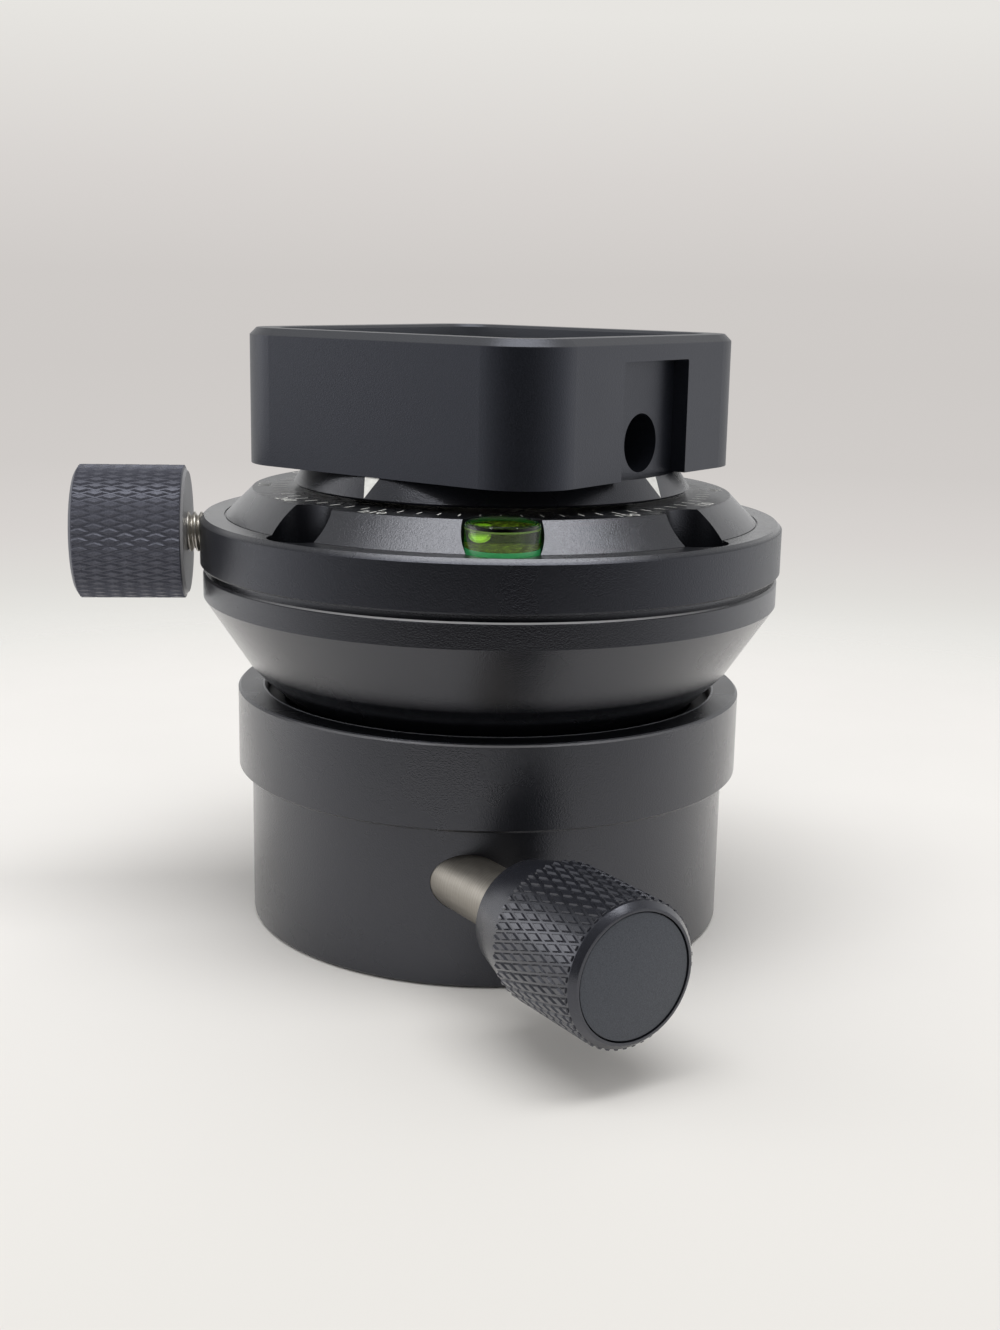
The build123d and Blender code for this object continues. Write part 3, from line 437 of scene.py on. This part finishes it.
NODE_FINISH = {
    "base_housing": cup_anodised,
    "base_plate": anodised,
    "plate_screws": black_oxide,
    "tripod_bush": upright_steel,
    "clamp_post": upright_steel,
    "clamp_dome": upright_steel,
    "dome_nut": upright_steel,
    "tilt_bush": bearing_brass,
    "seat_ring": bore_anodised,
    "lift_pin": ground_steel,
    "tilt_wedge": ground_steel,
    "tilt_spindle": rod_steel,
    "tilt_knob": tilt_knob_painted_darker,
    "tilt_knob_cap": cap_anodised,
    "tilt_knob_screw": black_oxide,
    "friction_shim": acetal,
    "bowl": bowl_anodised_painted_highlight,
    "scale_ring": ring_anodised,
    "ring_screws": black_oxide,
    "level_base": level_green,
    "level_vial": vial_acrylic,
    "level_liquid": green_liquid,
    "pan_bush": bearing_brass,
    "thrust_washer": acetal,
    "pan_shoe": bearing_brass,
    "pan_lock_screw": thread_steel,
    "pan_knob": pan_knob_painted_lighter,
    "pan_knob_cap": cap_anodised,
    "pan_knob_screw": black_oxide,
    "pan_shaft": upright_steel,
    "pan_retainer": plain_aluminium,
    "retainer_screw": black_oxide,
    "index_disc": anodised,
    "receiver_frame": milled_anodised,
    "receiver_base": milled_anodised,
    "receiver_screws": black_oxide,
}
for node_name, finish in NODE_FINISH.items():
    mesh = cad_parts[node_name].data
    mesh.materials.clear()
    mesh.materials.append(finish)


# Pieces that the turned solids leave out


def piece(name, bm, finish, body, place=Matrix(), replaces=(), crease=30):
    """Makes a bmesh in millimetres a finished piece, in its place, that rides on a body."""
    bmesh.ops.transform(bm, matrix=Matrix.Scale(MM, 4) @ place, verts=bm.verts)
    mesh = bpy.data.meshes.new(name)
    bm.to_mesh(mesh)
    bm.free()
    mesh.shade_smooth()
    mesh.set_sharp_from_angle(angle=math.radians(crease))
    mesh.materials.append(finish)
    made = bpy.data.objects.new(name, mesh)
    bpy.context.scene.collection.objects.link(made)
    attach(made, body)
    if replaces:
        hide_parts(*replaces)
    return made


def turned_shape(bm, outline, steps=96, closed=True):
    """Spins an outline of (place along the axis, radius) round X into a shape, or an open skin."""
    corners = [bm.verts.new((x, radius, 0)) for x, radius in outline]
    ends = zip(corners, corners[1:] + corners[: int(closed)])
    edges = [bm.edges.new(pair) for pair in ends if max(v.co.y for v in pair) > 0]
    bmesh.ops.spin(
        bm, geom=corners + edges, axis=(1, 0, 0), cent=(0, 0, 0), angle=math.tau, steps=steps, use_merge=True
    )
    bmesh.ops.remove_doubles(bm, verts=bm.verts, dist=0.001)
    bmesh.ops.recalc_face_normals(bm, faces=bm.faces)


def join(bm, other):
    """Adds another bmesh to one, and frees it."""
    mesh = bpy.data.meshes.new("joined")
    other.to_mesh(mesh)
    other.free()
    bm.from_mesh(mesh)
    bpy.data.meshes.remove(mesh)


def circle_edges(circle):
    """The edges of a new circle, in the order of its corners."""
    return list(dict.fromkeys(e for v in circle["verts"] for e in v.link_edges))


def cut(bm, place, normal):
    """Cuts away what lies beyond a plane."""
    everything = bm.verts[:] + bm.edges[:] + bm.faces[:]
    bmesh.ops.bisect_plane(
        bm, geom=everything, dist=0.0001, plane_co=place, plane_no=normal, clear_outer=True
    )


def knurl(bm, start, end, radius, round_count, length, width, depth):
    """A sleeve of rolled diamonds round X, with flat tops, from one place on the axis to another.

    A flat grid turned on its corner gives the diamonds. Each is inset and raised, then the sheet is
    cut to the sleeve's size, wrapped round the axis and closed with end walls and an inner wall.
    """
    girth = math.tau * radius
    pitch = girth / round_count
    cells = math.ceil((end - start) / length + round_count) + 2
    band = bmesh.new()
    bmesh.ops.create_grid(band, x_segments=cells, y_segments=cells, size=cells / 2)
    bmesh.ops.rotate(band, matrix=Matrix.Rotation(math.pi / 4, 3, "Z"), verts=band.verts)
    bmesh.ops.scale(band, vec=(length / math.sqrt(2), pitch / math.sqrt(2), 1), verts=band.verts)
    bmesh.ops.translate(band, vec=((start + end) / 2, girth / 2, 0), verts=band.verts)
    far = []
    for f in band.faces:
        middle = f.calc_center_median()
        if not (start - length < middle.x < end + length and -pitch < middle.y < girth + pitch):
            far.append(f)
    bmesh.ops.delete(band, geom=far, context="FACES")
    bmesh.ops.inset_individual(band, faces=band.faces, thickness=width, depth=depth, use_even_offset=True)
    cut(band, (start, 0, 0), (-1, 0, 0))
    cut(band, (end, 0, 0), (1, 0, 0))
    cut(band, (0, 0, 0), (0, -1, 0))
    cut(band, (0, girth, 0), (0, 1, 0))
    for v in band.verts:
        turn = v.co.y / radius
        out = radius - depth + v.co.z
        v.co = (v.co.x, out * math.cos(turn), out * math.sin(turn))
    bmesh.ops.remove_doubles(band, verts=band.verts, dist=0.002)
    rims = [e for e in band.edges if e.is_boundary]
    walls = bmesh.ops.extrude_edge_only(band, edges=rims)
    for v in walls["geom"]:
        if isinstance(v, bmesh.types.BMVert):
            flat = Vector((0, v.co.y, v.co.z))
            v.co -= flat - flat.normalized() * (radius - depth - 0.5)
    bmesh.ops.bridge_loops(band, edges=[e for e in band.edges if e.is_boundary])
    bmesh.ops.recalc_face_normals(band, faces=band.faces)
    join(bm, band)


def thread_wall(bm, start, end, crest, root, pitch, steps):
    """One start of a thread round X: a wall of flanks, cut square at both ends."""
    turns = math.ceil((end - start) / pitch) + 3
    # Over each pitch: a flat at the root, a flank, a flat at the crest and a flank back
    corners = []
    for turn in range(turns):
        at = start - 2 * pitch + turn * pitch
        for share, radius in ((0, root), (0.12, root), (0.46, crest), (0.66, crest)):
            corners.append(bm.verts.new((at + share * pitch, radius, 0)))
    corners.append(bm.verts.new((start + (turns - 2) * pitch, root, 0)))
    edges = [bm.edges.new(pair) for pair in zip(corners, corners[1:])]
    bmesh.ops.spin(
        bm,
        geom=corners + edges,
        axis=(1, 0, 0),
        cent=(0, 0, 0),
        dvec=(pitch / steps, 0, 0),
        angle=math.tau,
        steps=steps,
    )
    bmesh.ops.remove_doubles(bm, verts=bm.verts, dist=0.002)
    cut(bm, (start, 0, 0), (-1, 0, 0))
    cut(bm, (end, 0, 0), (1, 0, 0))


def lock_knob(name, node, body, place, finish, start, lengths, bore, collar_radius, radius, cell):
    """A knurled knob: turned core with its collar and cap recess, and the knurled sleeve round it."""
    collar, sleeve, nose = lengths
    knurled = start + collar
    end = knurled + sleeve
    front = end + nose
    floor = front - CAP_RECESS
    inside = bore + 0.02
    core = radius - 0.25
    recess = radius - 1.4
    bm = bmesh.new()
    turned_shape(
        bm,
        [
            (start, inside),
            (start, collar_radius - 0.25),
            (start + 0.25, collar_radius),
            (knurled, core),
            (end, core),
            (end + 0.22 * nose, radius - 0.3),
            (end + 0.72 * nose, radius - 0.75),
            (front - 0.05, radius - 1.0),
            (front, radius - 1.2),
            (front, recess),
            (floor, recess),
            (floor, SCREW_HEAD),
            (floor - (SCREW_HEAD - SCREW_HOLE), SCREW_HOLE),
            (floor - 5, SCREW_HOLE),
            (floor - 5, inside),
        ],
    )
    knurl(bm, knurled, end, radius, *cell)
    piece(name, bm, finish, body, place, (node,), 20)


# The last four sizes are the knurl's: diamonds round the knob, their length, groove width and depth
lock_knob(
    "tilt_knob_knurled", "tilt_knob", "tilt_lock", TILT_AXIS, tilt_knob_painted_darker, TILT_KNOB_START, TILT_KNOB_LENGTHS,
    bore=4.28, collar_radius=7.7, radius=9.7, cell=(45, 4.1, 0.3, 0.45),
)
lock_knob(
    "pan_knob_knurled", "pan_knob", "pan_lock", PAN_AXIS, pan_knob_painted_lighter, PAN_KNOB_START, PAN_KNOB_LENGTHS,
    bore=2.75, collar_radius=9.35, radius=10.0, cell=(47, 4.45, 0.36, 0.34),
)

TILT_KNOB_END = TILT_KNOB_START + sum(TILT_KNOB_LENGTHS)
PAN_KNOB_END = PAN_KNOB_START + sum(PAN_KNOB_LENGTHS)
for name, front, radius, place, body, node in (
    ("tilt_cap_edged", TILT_KNOB_END, 8.15, TILT_AXIS, "tilt_lock", "tilt_knob_cap"),
    ("pan_cap_edged", PAN_KNOB_END, 8.45, PAN_AXIS, "pan_lock", "pan_knob_cap"),
):
    bm = bmesh.new()
    side = [(front - CAP_RECESS, 0), (front - CAP_RECESS, radius), (front - 0.3, radius)]
    edge = [(front - 0.15, radius - 0.06), (front - 0.1, radius - 0.2)]
    turned_shape(bm, side + edge + [(front - 0.1, 0)])
    piece(name, bm, cap_anodised, body, place, (node,))

# The pan lock's screw has a standard 6 mm thread, which shows between the ring and the knob
bm = bmesh.new()
thread_wall(bm, SHOE_END, PAN_KNOB_START + 3, crest=3.0, root=2.42, pitch=1.0, steps=40)
bmesh.ops.holes_fill(bm, edges=[e for e in bm.edges if e.is_boundary], sides=0)
bmesh.ops.recalc_face_normals(bm, faces=bm.faces)
piece("pan_screw_threaded", bm, thread_steel, "pan_lock", PAN_AXIS, ("pan_lock_screw",), 40)

# The tripod bush has a 3/8 inch thread, 16 to the inch, cut outwards from its bore
BUSH_LENGTH = 11
BUSH_RADIUS = 8
bm = bmesh.new()
thread_wall(bm, 0, BUSH_LENGTH, crest=3.97, root=4.76, pitch=25.4 / 16, steps=64)
inner = [e for e in bm.edges if e.is_boundary]
bmesh.ops.recalc_face_normals(bm, faces=bm.faces)
for z in (0, BUSH_LENGTH):
    rim = [e for e in inner if e.is_valid and all(abs(v.co.x - z) < 0.001 for v in e.verts)]
    spot = Matrix.Translation((z, 0, 0)) @ HANGING
    ring = bmesh.ops.create_circle(bm, segments=96, radius=BUSH_RADIUS, matrix=spot)
    bmesh.ops.bridge_loops(bm, edges=rim + circle_edges(ring))
bmesh.ops.bridge_loops(bm, edges=[e for e in bm.edges if e.is_boundary])
collar = [(5, BUSH_RADIUS - 0.1), (5, 11), (7, 11), (7, BUSH_RADIUS - 0.1)]
turned_shape(bm, collar)
piece("tripod_bush_threaded", bm, upright_steel, "base", UPRIGHT, ("tripod_bush",))


def socket_screw(bm, place, seat, head, length, shank, key, depth):
    """A hexagon socket screw with its axis up X: its head's outline starts at the seat."""
    one = bmesh.new()
    end = seat - length
    top, rim = head[-1]
    outline = [(end, 0), (end, shank - 0.3), (end + 0.3, shank), (seat, shank)] + head
    turned_shape(one, outline, 48, False)
    rim_edges = [e for e in one.edges if e.is_boundary]
    face = Matrix.Translation((top, 0, 0)) @ HANGING
    hexagon = bmesh.ops.create_circle(one, segments=6, radius=key / math.sqrt(3), matrix=face)
    mouth = circle_edges(hexagon)
    bmesh.ops.bridge_loops(one, edges=rim_edges + mouth)
    wall = bmesh.ops.extrude_edge_only(one, edges=mouth)
    foot = [v for v in wall["geom"] if isinstance(v, bmesh.types.BMVert)]
    bmesh.ops.translate(one, verts=foot, vec=(-depth, 0, 0))
    bmesh.ops.holes_fill(one, edges=[e for e in one.edges if e.is_boundary], sides=0)
    bmesh.ops.recalc_face_normals(one, faces=one.faces)
    bmesh.ops.transform(one, matrix=place, verts=one.verts)
    join(bm, one)


def circle_of_screws(name, body, node, count, start, circle, z, lie, **sizes):
    """Screws of one kind round the upright axis, as one piece."""
    bm = bmesh.new()
    for turn in range(count):
        swing = Matrix.Rotation(math.radians(start + 360 / count * turn), 4, "Z")
        socket_screw(bm, swing @ Matrix.Translation((circle, 0, z)) @ lie, **sizes)
    piece(name, bm, black_oxide, body, replaces=(node,))


# Socket screws: M4 cap heads in the ring, M4 and M3 countersunk ones in the receiver and the plate
circle_of_screws(
    "ring_screws_socketed", "bowl", "ring_screws", 4, LEVEL_AZIMUTH + 45, SCREW_CIRCLE, SCREW_SEAT, UPRIGHT,
    seat=0, head=[(0, 3.45), (2.5, 3.45), (2.78, 3.2)], length=7.4, shank=1.98, key=3.0, depth=1.9,
)
circle_of_screws(
    "receiver_screws_socketed", "pan_top", "receiver_screws", 4, RECEIVER_TURN, 9.0, RECEIVER_FLOOR, UPRIGHT,
    seat=-1.9, head=[(-0.15, 3.75), (-0.05, 3.7), (-0.03, 3.6)], length=20, shank=1.98, key=2.5, depth=1.6,
)
circle_of_screws(
    "plate_screws_socketed", "base", "plate_screws", 3, -75, 30, 0, HANGING,
    seat=-1.4, head=[(-0.15, 2.75), (-0.05, 2.7), (-0.03, 2.6)], length=9.5, shank=1.48, key=2.0, depth=1.3,
)

# Degree scale: a mark each 5 degrees, and a number each 30 but for the one where the level's pocket is
level_turn = math.radians(LEVEL_AZIMUTH)
LEVEL_SPOT = Vector((LEVEL_CIRCLE * math.cos(level_turn), LEVEL_CIRCLE * math.sin(level_turn), 0))
PAINT_HEIGHT = SCALE_HEIGHT + 0.012
TICK_LENGTH, TICK_WIDTH, TICK_CIRCLE = 2, 0.22, 32
NUMBER_SIZE, NUMBER_CIRCLE = 2.7, 34.55
bm = bmesh.new()
bmesh.ops.create_grid(bm, x_segments=1, y_segments=1, size=0.5)
bmesh.ops.scale(bm, vec=(TICK_LENGTH, TICK_WIDTH, 1), verts=bm.verts)
bmesh.ops.translate(bm, vec=(TICK_CIRCLE, 0, PAINT_HEIGHT), verts=bm.verts)
bmesh.ops.rotate(bm, matrix=Matrix.Rotation(level_turn, 3, "Z"), verts=bm.verts)
bmesh.ops.spin(
    bm,
    geom=bm.faces[:],
    axis=(0, 0, 1),
    cent=(0, 0, 0),
    angle=math.radians(355),
    steps=71,
    use_duplicate=True,
)
# The marks behind the level end at its pocket
for v in bm.verts:
    while (Vector((v.co.x, v.co.y, 0)) - LEVEL_SPOT).length < LEVEL_POCKET:
        v.co -= Vector((v.co.x, v.co.y, 0)) * 0.001
for count in range(1, 12):
    swing = Matrix.Rotation(math.radians(LEVEL_AZIMUTH - 30 * count + 90), 4, "Z")
    text = bpy.data.curves.new("number", "FONT")
    text.body = str((180 + 30 * count) % 360)
    text.size = NUMBER_SIZE
    text.align_x = "CENTER"
    text.align_y = "CENTER"
    holder = bpy.data.objects.new("number", text)
    flat = bpy.data.meshes.new_from_object(holder)
    flat.transform(swing @ Matrix.Translation((0, -NUMBER_CIRCLE, PAINT_HEIGHT)))
    bm.from_mesh(flat)
    bpy.data.objects.remove(holder)
    bpy.data.curves.remove(text)
    bpy.data.meshes.remove(flat)
piece("degree_scale", bm, mark_paint, "bowl")

# Bubble level: bright base, dyed liquid with its bubble, clear vial with a rounded edge and a domed lid.
# Each outline gives the height over the pocket's floor, then the radius
LEVEL_AXIS = Matrix.Translation(LEVEL_SPOT + Vector((0, 0, LEVEL_FLOOR))) @ UPRIGHT
bm = bmesh.new()
turned_shape(bm, [(0, 0), (0, 4.05), (0.12, 4.17), (LEVEL_SIDE, 4.17), (4.5, 4.09), (4.5, 0)])
piece("level_base_bright", bm, level_green, "bowl", LEVEL_AXIS, ("level_base",))

bm = bmesh.new()
lid = [(7.12, 4.15), (7.24, 3.3), (7.34, 2.2), (7.39, 1.1), (7.4, 0)]
edge = [(7.5, 5.05), (7.68, 5.0), (7.84, 4.88), (7.95, 4.7), (8.0, 4.45)]
turned_shape(bm, [(0, 4.15), (0, 4.95), (0.1, 5.05)] + edge + [(8.0, 0)] + lid[::-1] + [(6.9, 4.15)])
vial = piece("level_vial_rounded", bm, vial_acrylic, "bowl", LEVEL_AXIS, ("level_vial",), 20)
vial.data.materials.append(vial_edge_highlight)
# The rounded edge and the lid's short rim are painted pale green: two rings of painted highlight for the
# light they catch
for face in vial.data.polygons:
    height = face.center.z / MM - LEVEL_FLOOR
    shoulder = 0.6 < face.normal.z < 0.85
    lid_rim = 6.9 < height < 7.12 and abs(face.normal.z) < 0.1 and face.area < 0.2 * MM * MM
    if shoulder or lid_rim:
        face.material_index = 1

bm = bmesh.new()
turned_shape(bm, [(4.48, 0), (4.48, 4.17)] + [(x + 0.02, r and r + 0.02) for x, r in lid])
# The bubble lies against the lid, to the left and in front of the level's middle
BUBBLE_RADIUS = 1.25
BUBBLE_SPOT = Vector((-2.5, -1.0, 6.27))
bubble = bmesh.new()
bmesh.ops.create_uvsphere(bubble, u_segments=32, v_segments=20, radius=BUBBLE_RADIUS)
bmesh.ops.scale(bubble, vec=(1.05, 1.05, 0.8), verts=bubble.verts)
bmesh.ops.reverse_faces(bubble, faces=bubble.faces)
at_lid = LEVEL_AXIS.inverted() @ Matrix.Translation(LEVEL_AXIS.translation + BUBBLE_SPOT)
bmesh.ops.transform(bubble, matrix=at_lid, verts=bubble.verts)
skin = len(bubble.faces)
join(bm, bubble)
liquid = piece(
    "level_liquid_with_bubble", bm, green_liquid, "bowl", LEVEL_AXIS, ("level_liquid",), 40
)
liquid.data.materials.append(bubble_skin)
for face in liquid.data.polygons[-skin:]:
    face.material_index = 1

# Four white index marks on the disc's skirt, one under the middle of each side of the receiver
MARK_WIDTH = 2.7
MARK_FOOT = DISC_FOOT + 0.3
mark_turn = math.radians(RECEIVER_TURN + 1)
bm = bmesh.new()
bmesh.ops.create_grid(bm, x_segments=6, y_segments=6, size=0.5)
for v in bm.verts:
    up_share = v.co.y + 0.5
    out = DISC_RADIUS + (DISC_TOP_RADIUS - DISC_RADIUS) * up_share + 0.015
    turn = mark_turn + v.co.x * up_share * MARK_WIDTH / out
    v.co = (out * math.cos(turn), out * math.sin(turn), MARK_FOOT + (DISC_TOP - MARK_FOOT) * up_share)
bmesh.ops.remove_doubles(bm, verts=bm.verts, dist=0.001)
bmesh.ops.spin(
    bm,
    geom=bm.faces[:],
    axis=(0, 0, 1),
    cent=(0, 0, 0),
    angle=math.radians(270),
    steps=3,
    use_duplicate=True,
)
piece("index_marks", bm, mark_paint, "pan_top")


# Camera, lamps and backdrop

# Fitted to the photo: angles in radians, place in millimetres, focal length in pixels of its 1330 rows
PITCH, YAW, ROLL = 0.2229, 0.0069, 0.0187
CAMERA_PLACE = Vector((0, -259.479, 97.0927))
FOCAL_PIXELS = 1705.63
PHOTO_ROWS = 1330
SENSOR_HEIGHT = 36
ahead = Vector((math.sin(YAW) * math.cos(PITCH), math.cos(YAW) * math.cos(PITCH), -math.sin(PITCH)))
level_right = Vector((math.cos(YAW), -math.sin(YAW), 0))
level_up = level_right.cross(ahead)
right = math.cos(ROLL) * level_right + math.sin(ROLL) * level_up
up = -math.sin(ROLL) * level_right + math.cos(ROLL) * level_up
camera = bpy.data.objects.new("camera", bpy.data.cameras.new("camera"))
bpy.context.scene.collection.objects.link(camera)
aimed = Matrix((right, up, -ahead)).transposed().to_4x4()
camera.matrix_world = Matrix.Translation(CAMERA_PLACE * MM) @ aimed
camera.data.lens = FOCAL_PIXELS / PHOTO_ROWS * SENSOR_HEIGHT
camera.data.clip_start = 0.01
bpy.context.scene.camera = camera
bpy.context.scene.view_settings.view_transform = "Standard"


def lamp(name, place, aim, size, radiance):
    """A square soft lamp that faces a point."""
    light = bpy.data.lights.new(name, "AREA")
    light.shape = "RECTANGLE"
    light.size, light.size_y = size
    light.energy = radiance * math.pi * size[0] * size[1]
    made = bpy.data.objects.new(name, light)
    bpy.context.scene.collection.objects.link(made)
    made.location = place
    made.rotation_euler = (Vector(place) - Vector(aim)).to_track_quat("Z", "Y").to_euler()


# Lamps and the sweep are in metres
lamp("overhead_softbox", place=(0.01, -0.13, 0.75), aim=(0, 0, 0.05), size=(0.8, 0.27), radiance=5.0)
lamp("left_softbox", place=(-0.7, 0.1, 0.25), aim=(0, 0, 0.02), size=(0.4, 0.4), radiance=1.0)

world = bpy.data.worlds.new("light_tent")
bpy.context.scene.world = world
world.use_nodes = True
tent = world.node_tree
tent.nodes.clear()
direction = add(tent, "ShaderNodeTexCoord").outputs["Generated"]
split = add(tent, "ShaderNodeSeparateXYZ", Vector=direction)
height = add(tent, "ShaderNodeMapRange", Value=split.outputs["Z"], From_Min=-0.24, From_Max=0.16)
seen = add(tent, "ShaderNodeValToRGB", Fac=height.outputs["Result"])
stops(
    seen,
    [
        (0.0, tone("#efeeea")),
        (0.12, tone("#e7e6e2")),
        (0.17, tone("#dfddd9")),
        (0.24, tone("#d8d4d1")),
        (0.34, tone("#d0ccc9")),
        (0.48, tone("#cecac7")),
        (0.6, tone("#cfcbc8")),
        (0.74, tone("#d8d4d1")),
        (0.95, tone("#e7e5e1")),
    ],
)
# What shiny faces mirror: dark in front, on the camera's side, white at the sides, and dimmer overhead
# and behind
front = add(tent, "ShaderNodeMapRange", Value=split.outputs["Y"], From_Min=-0.97, From_Max=0.05)
opening = add(tent, "ShaderNodeMix", {"data_type": "RGBA"}, s0=front.outputs["Result"])
opening.inputs[6].default_value = tone("#121214")
opening.inputs[7].default_value = tone("#ffffff")
rays = add(tent, "ShaderNodeLightPath")
soft = add(tent, "ShaderNodeBackground", Color=tone("#dedddc"), Strength=1.0)
ceiling = add(
    tent, "ShaderNodeMapRange", Value=split.outputs["Z"], From_Min=0.25, From_Max=0.7, To_Min=1.0, To_Max=0.35
)
behind = add(
    tent, "ShaderNodeMapRange", Value=split.outputs["Y"], From_Min=0.35, From_Max=0.9, To_Min=1.0, To_Max=0.6
)
dimmed = product(tent, ceiling.outputs["Result"], behind.outputs["Result"])
mirrored = add(tent, "ShaderNodeBackground", Color=opening.outputs[2], Strength=dimmed)
backdrop = add(tent, "ShaderNodeBackground", Color=seen.outputs["Color"], Strength=1.0)
shiny = add(tent, "ShaderNodeMixShader", s0=rays.outputs["Is Glossy Ray"])
tent.links.new(soft.outputs[0], shiny.inputs[1])
tent.links.new(mirrored.outputs[0], shiny.inputs[2])
through = add(tent, "ShaderNodeMixShader", s0=rays.outputs["Is Transmission Ray"])
tent.links.new(shiny.outputs[0], through.inputs[1])
tent.links.new(backdrop.outputs[0], through.inputs[2])
shown = add(tent, "ShaderNodeMixShader", s0=rays.outputs["Is Camera Ray"])
tent.links.new(through.outputs[0], shown.inputs[1])
tent.links.new(backdrop.outputs[0], shown.inputs[2])
result = add(tent, "ShaderNodeOutputWorld")
tent.links.new(shown.outputs[0], result.inputs["Surface"])

# Floor: a white sweep with painted shade that makes it a little greyer in front, and that fades into the
# backdrop at its edge
SWEEP_RADIUS = 0.29
material, tree, shader = new_finish("white_sweep_card")
shader.inputs["Roughness"].default_value = 0.7
place = add(tree, "ShaderNodeTexCoord").outputs["Object"]
fibre = add(tree, "ShaderNodeTexNoise", Vector=place, Scale=1 / (40 * MM), Detail=2.0)
card = add(tree, "ShaderNodeValToRGB", Fac=fibre.outputs["Fac"])
stops(card, [(0.3, tone("#e6e4e1")), (0.7, tone("#e8e6e3"))])
toward = add(tree, "ShaderNodeSeparateXYZ", Vector=place).outputs["Y"]
# Painted shade: the card turns greyer towards the camera, for the shade that falls on its front
shaded_front = over(tree, fade(tree, toward, -20, -120), card.outputs["Color"], "#dad8d4")
tree.links.new(shaded_front, shader.inputs["Base Color"])
span = add(tree, "ShaderNodeVectorMath", {"operation": "LENGTH"}, s0=place)
edge = add(
    tree,
    "ShaderNodeMapRange",
    {"interpolation_type": "SMOOTHSTEP"},
    Value=span.outputs["Value"],
    From_Min=0.16,
    From_Max=0.27,
)
gone = add(tree, "ShaderNodeBsdfTransparent")
blend = add(tree, "ShaderNodeMixShader", s0=edge.outputs["Result"], s1=shader.outputs[0], s2=gone.outputs[0])
tree.links.new(blend.outputs[0], tree.nodes["Material Output"].inputs["Surface"])
bm = bmesh.new()
bmesh.ops.create_circle(bm, cap_ends=True, segments=96, radius=SWEEP_RADIUS)
floor_mesh = bpy.data.meshes.new("sweep")
bm.to_mesh(floor_mesh)
bm.free()
floor_mesh.materials.append(material)
floor = bpy.data.objects.new("sweep", floor_mesh)
bpy.context.scene.collection.objects.link(floor)
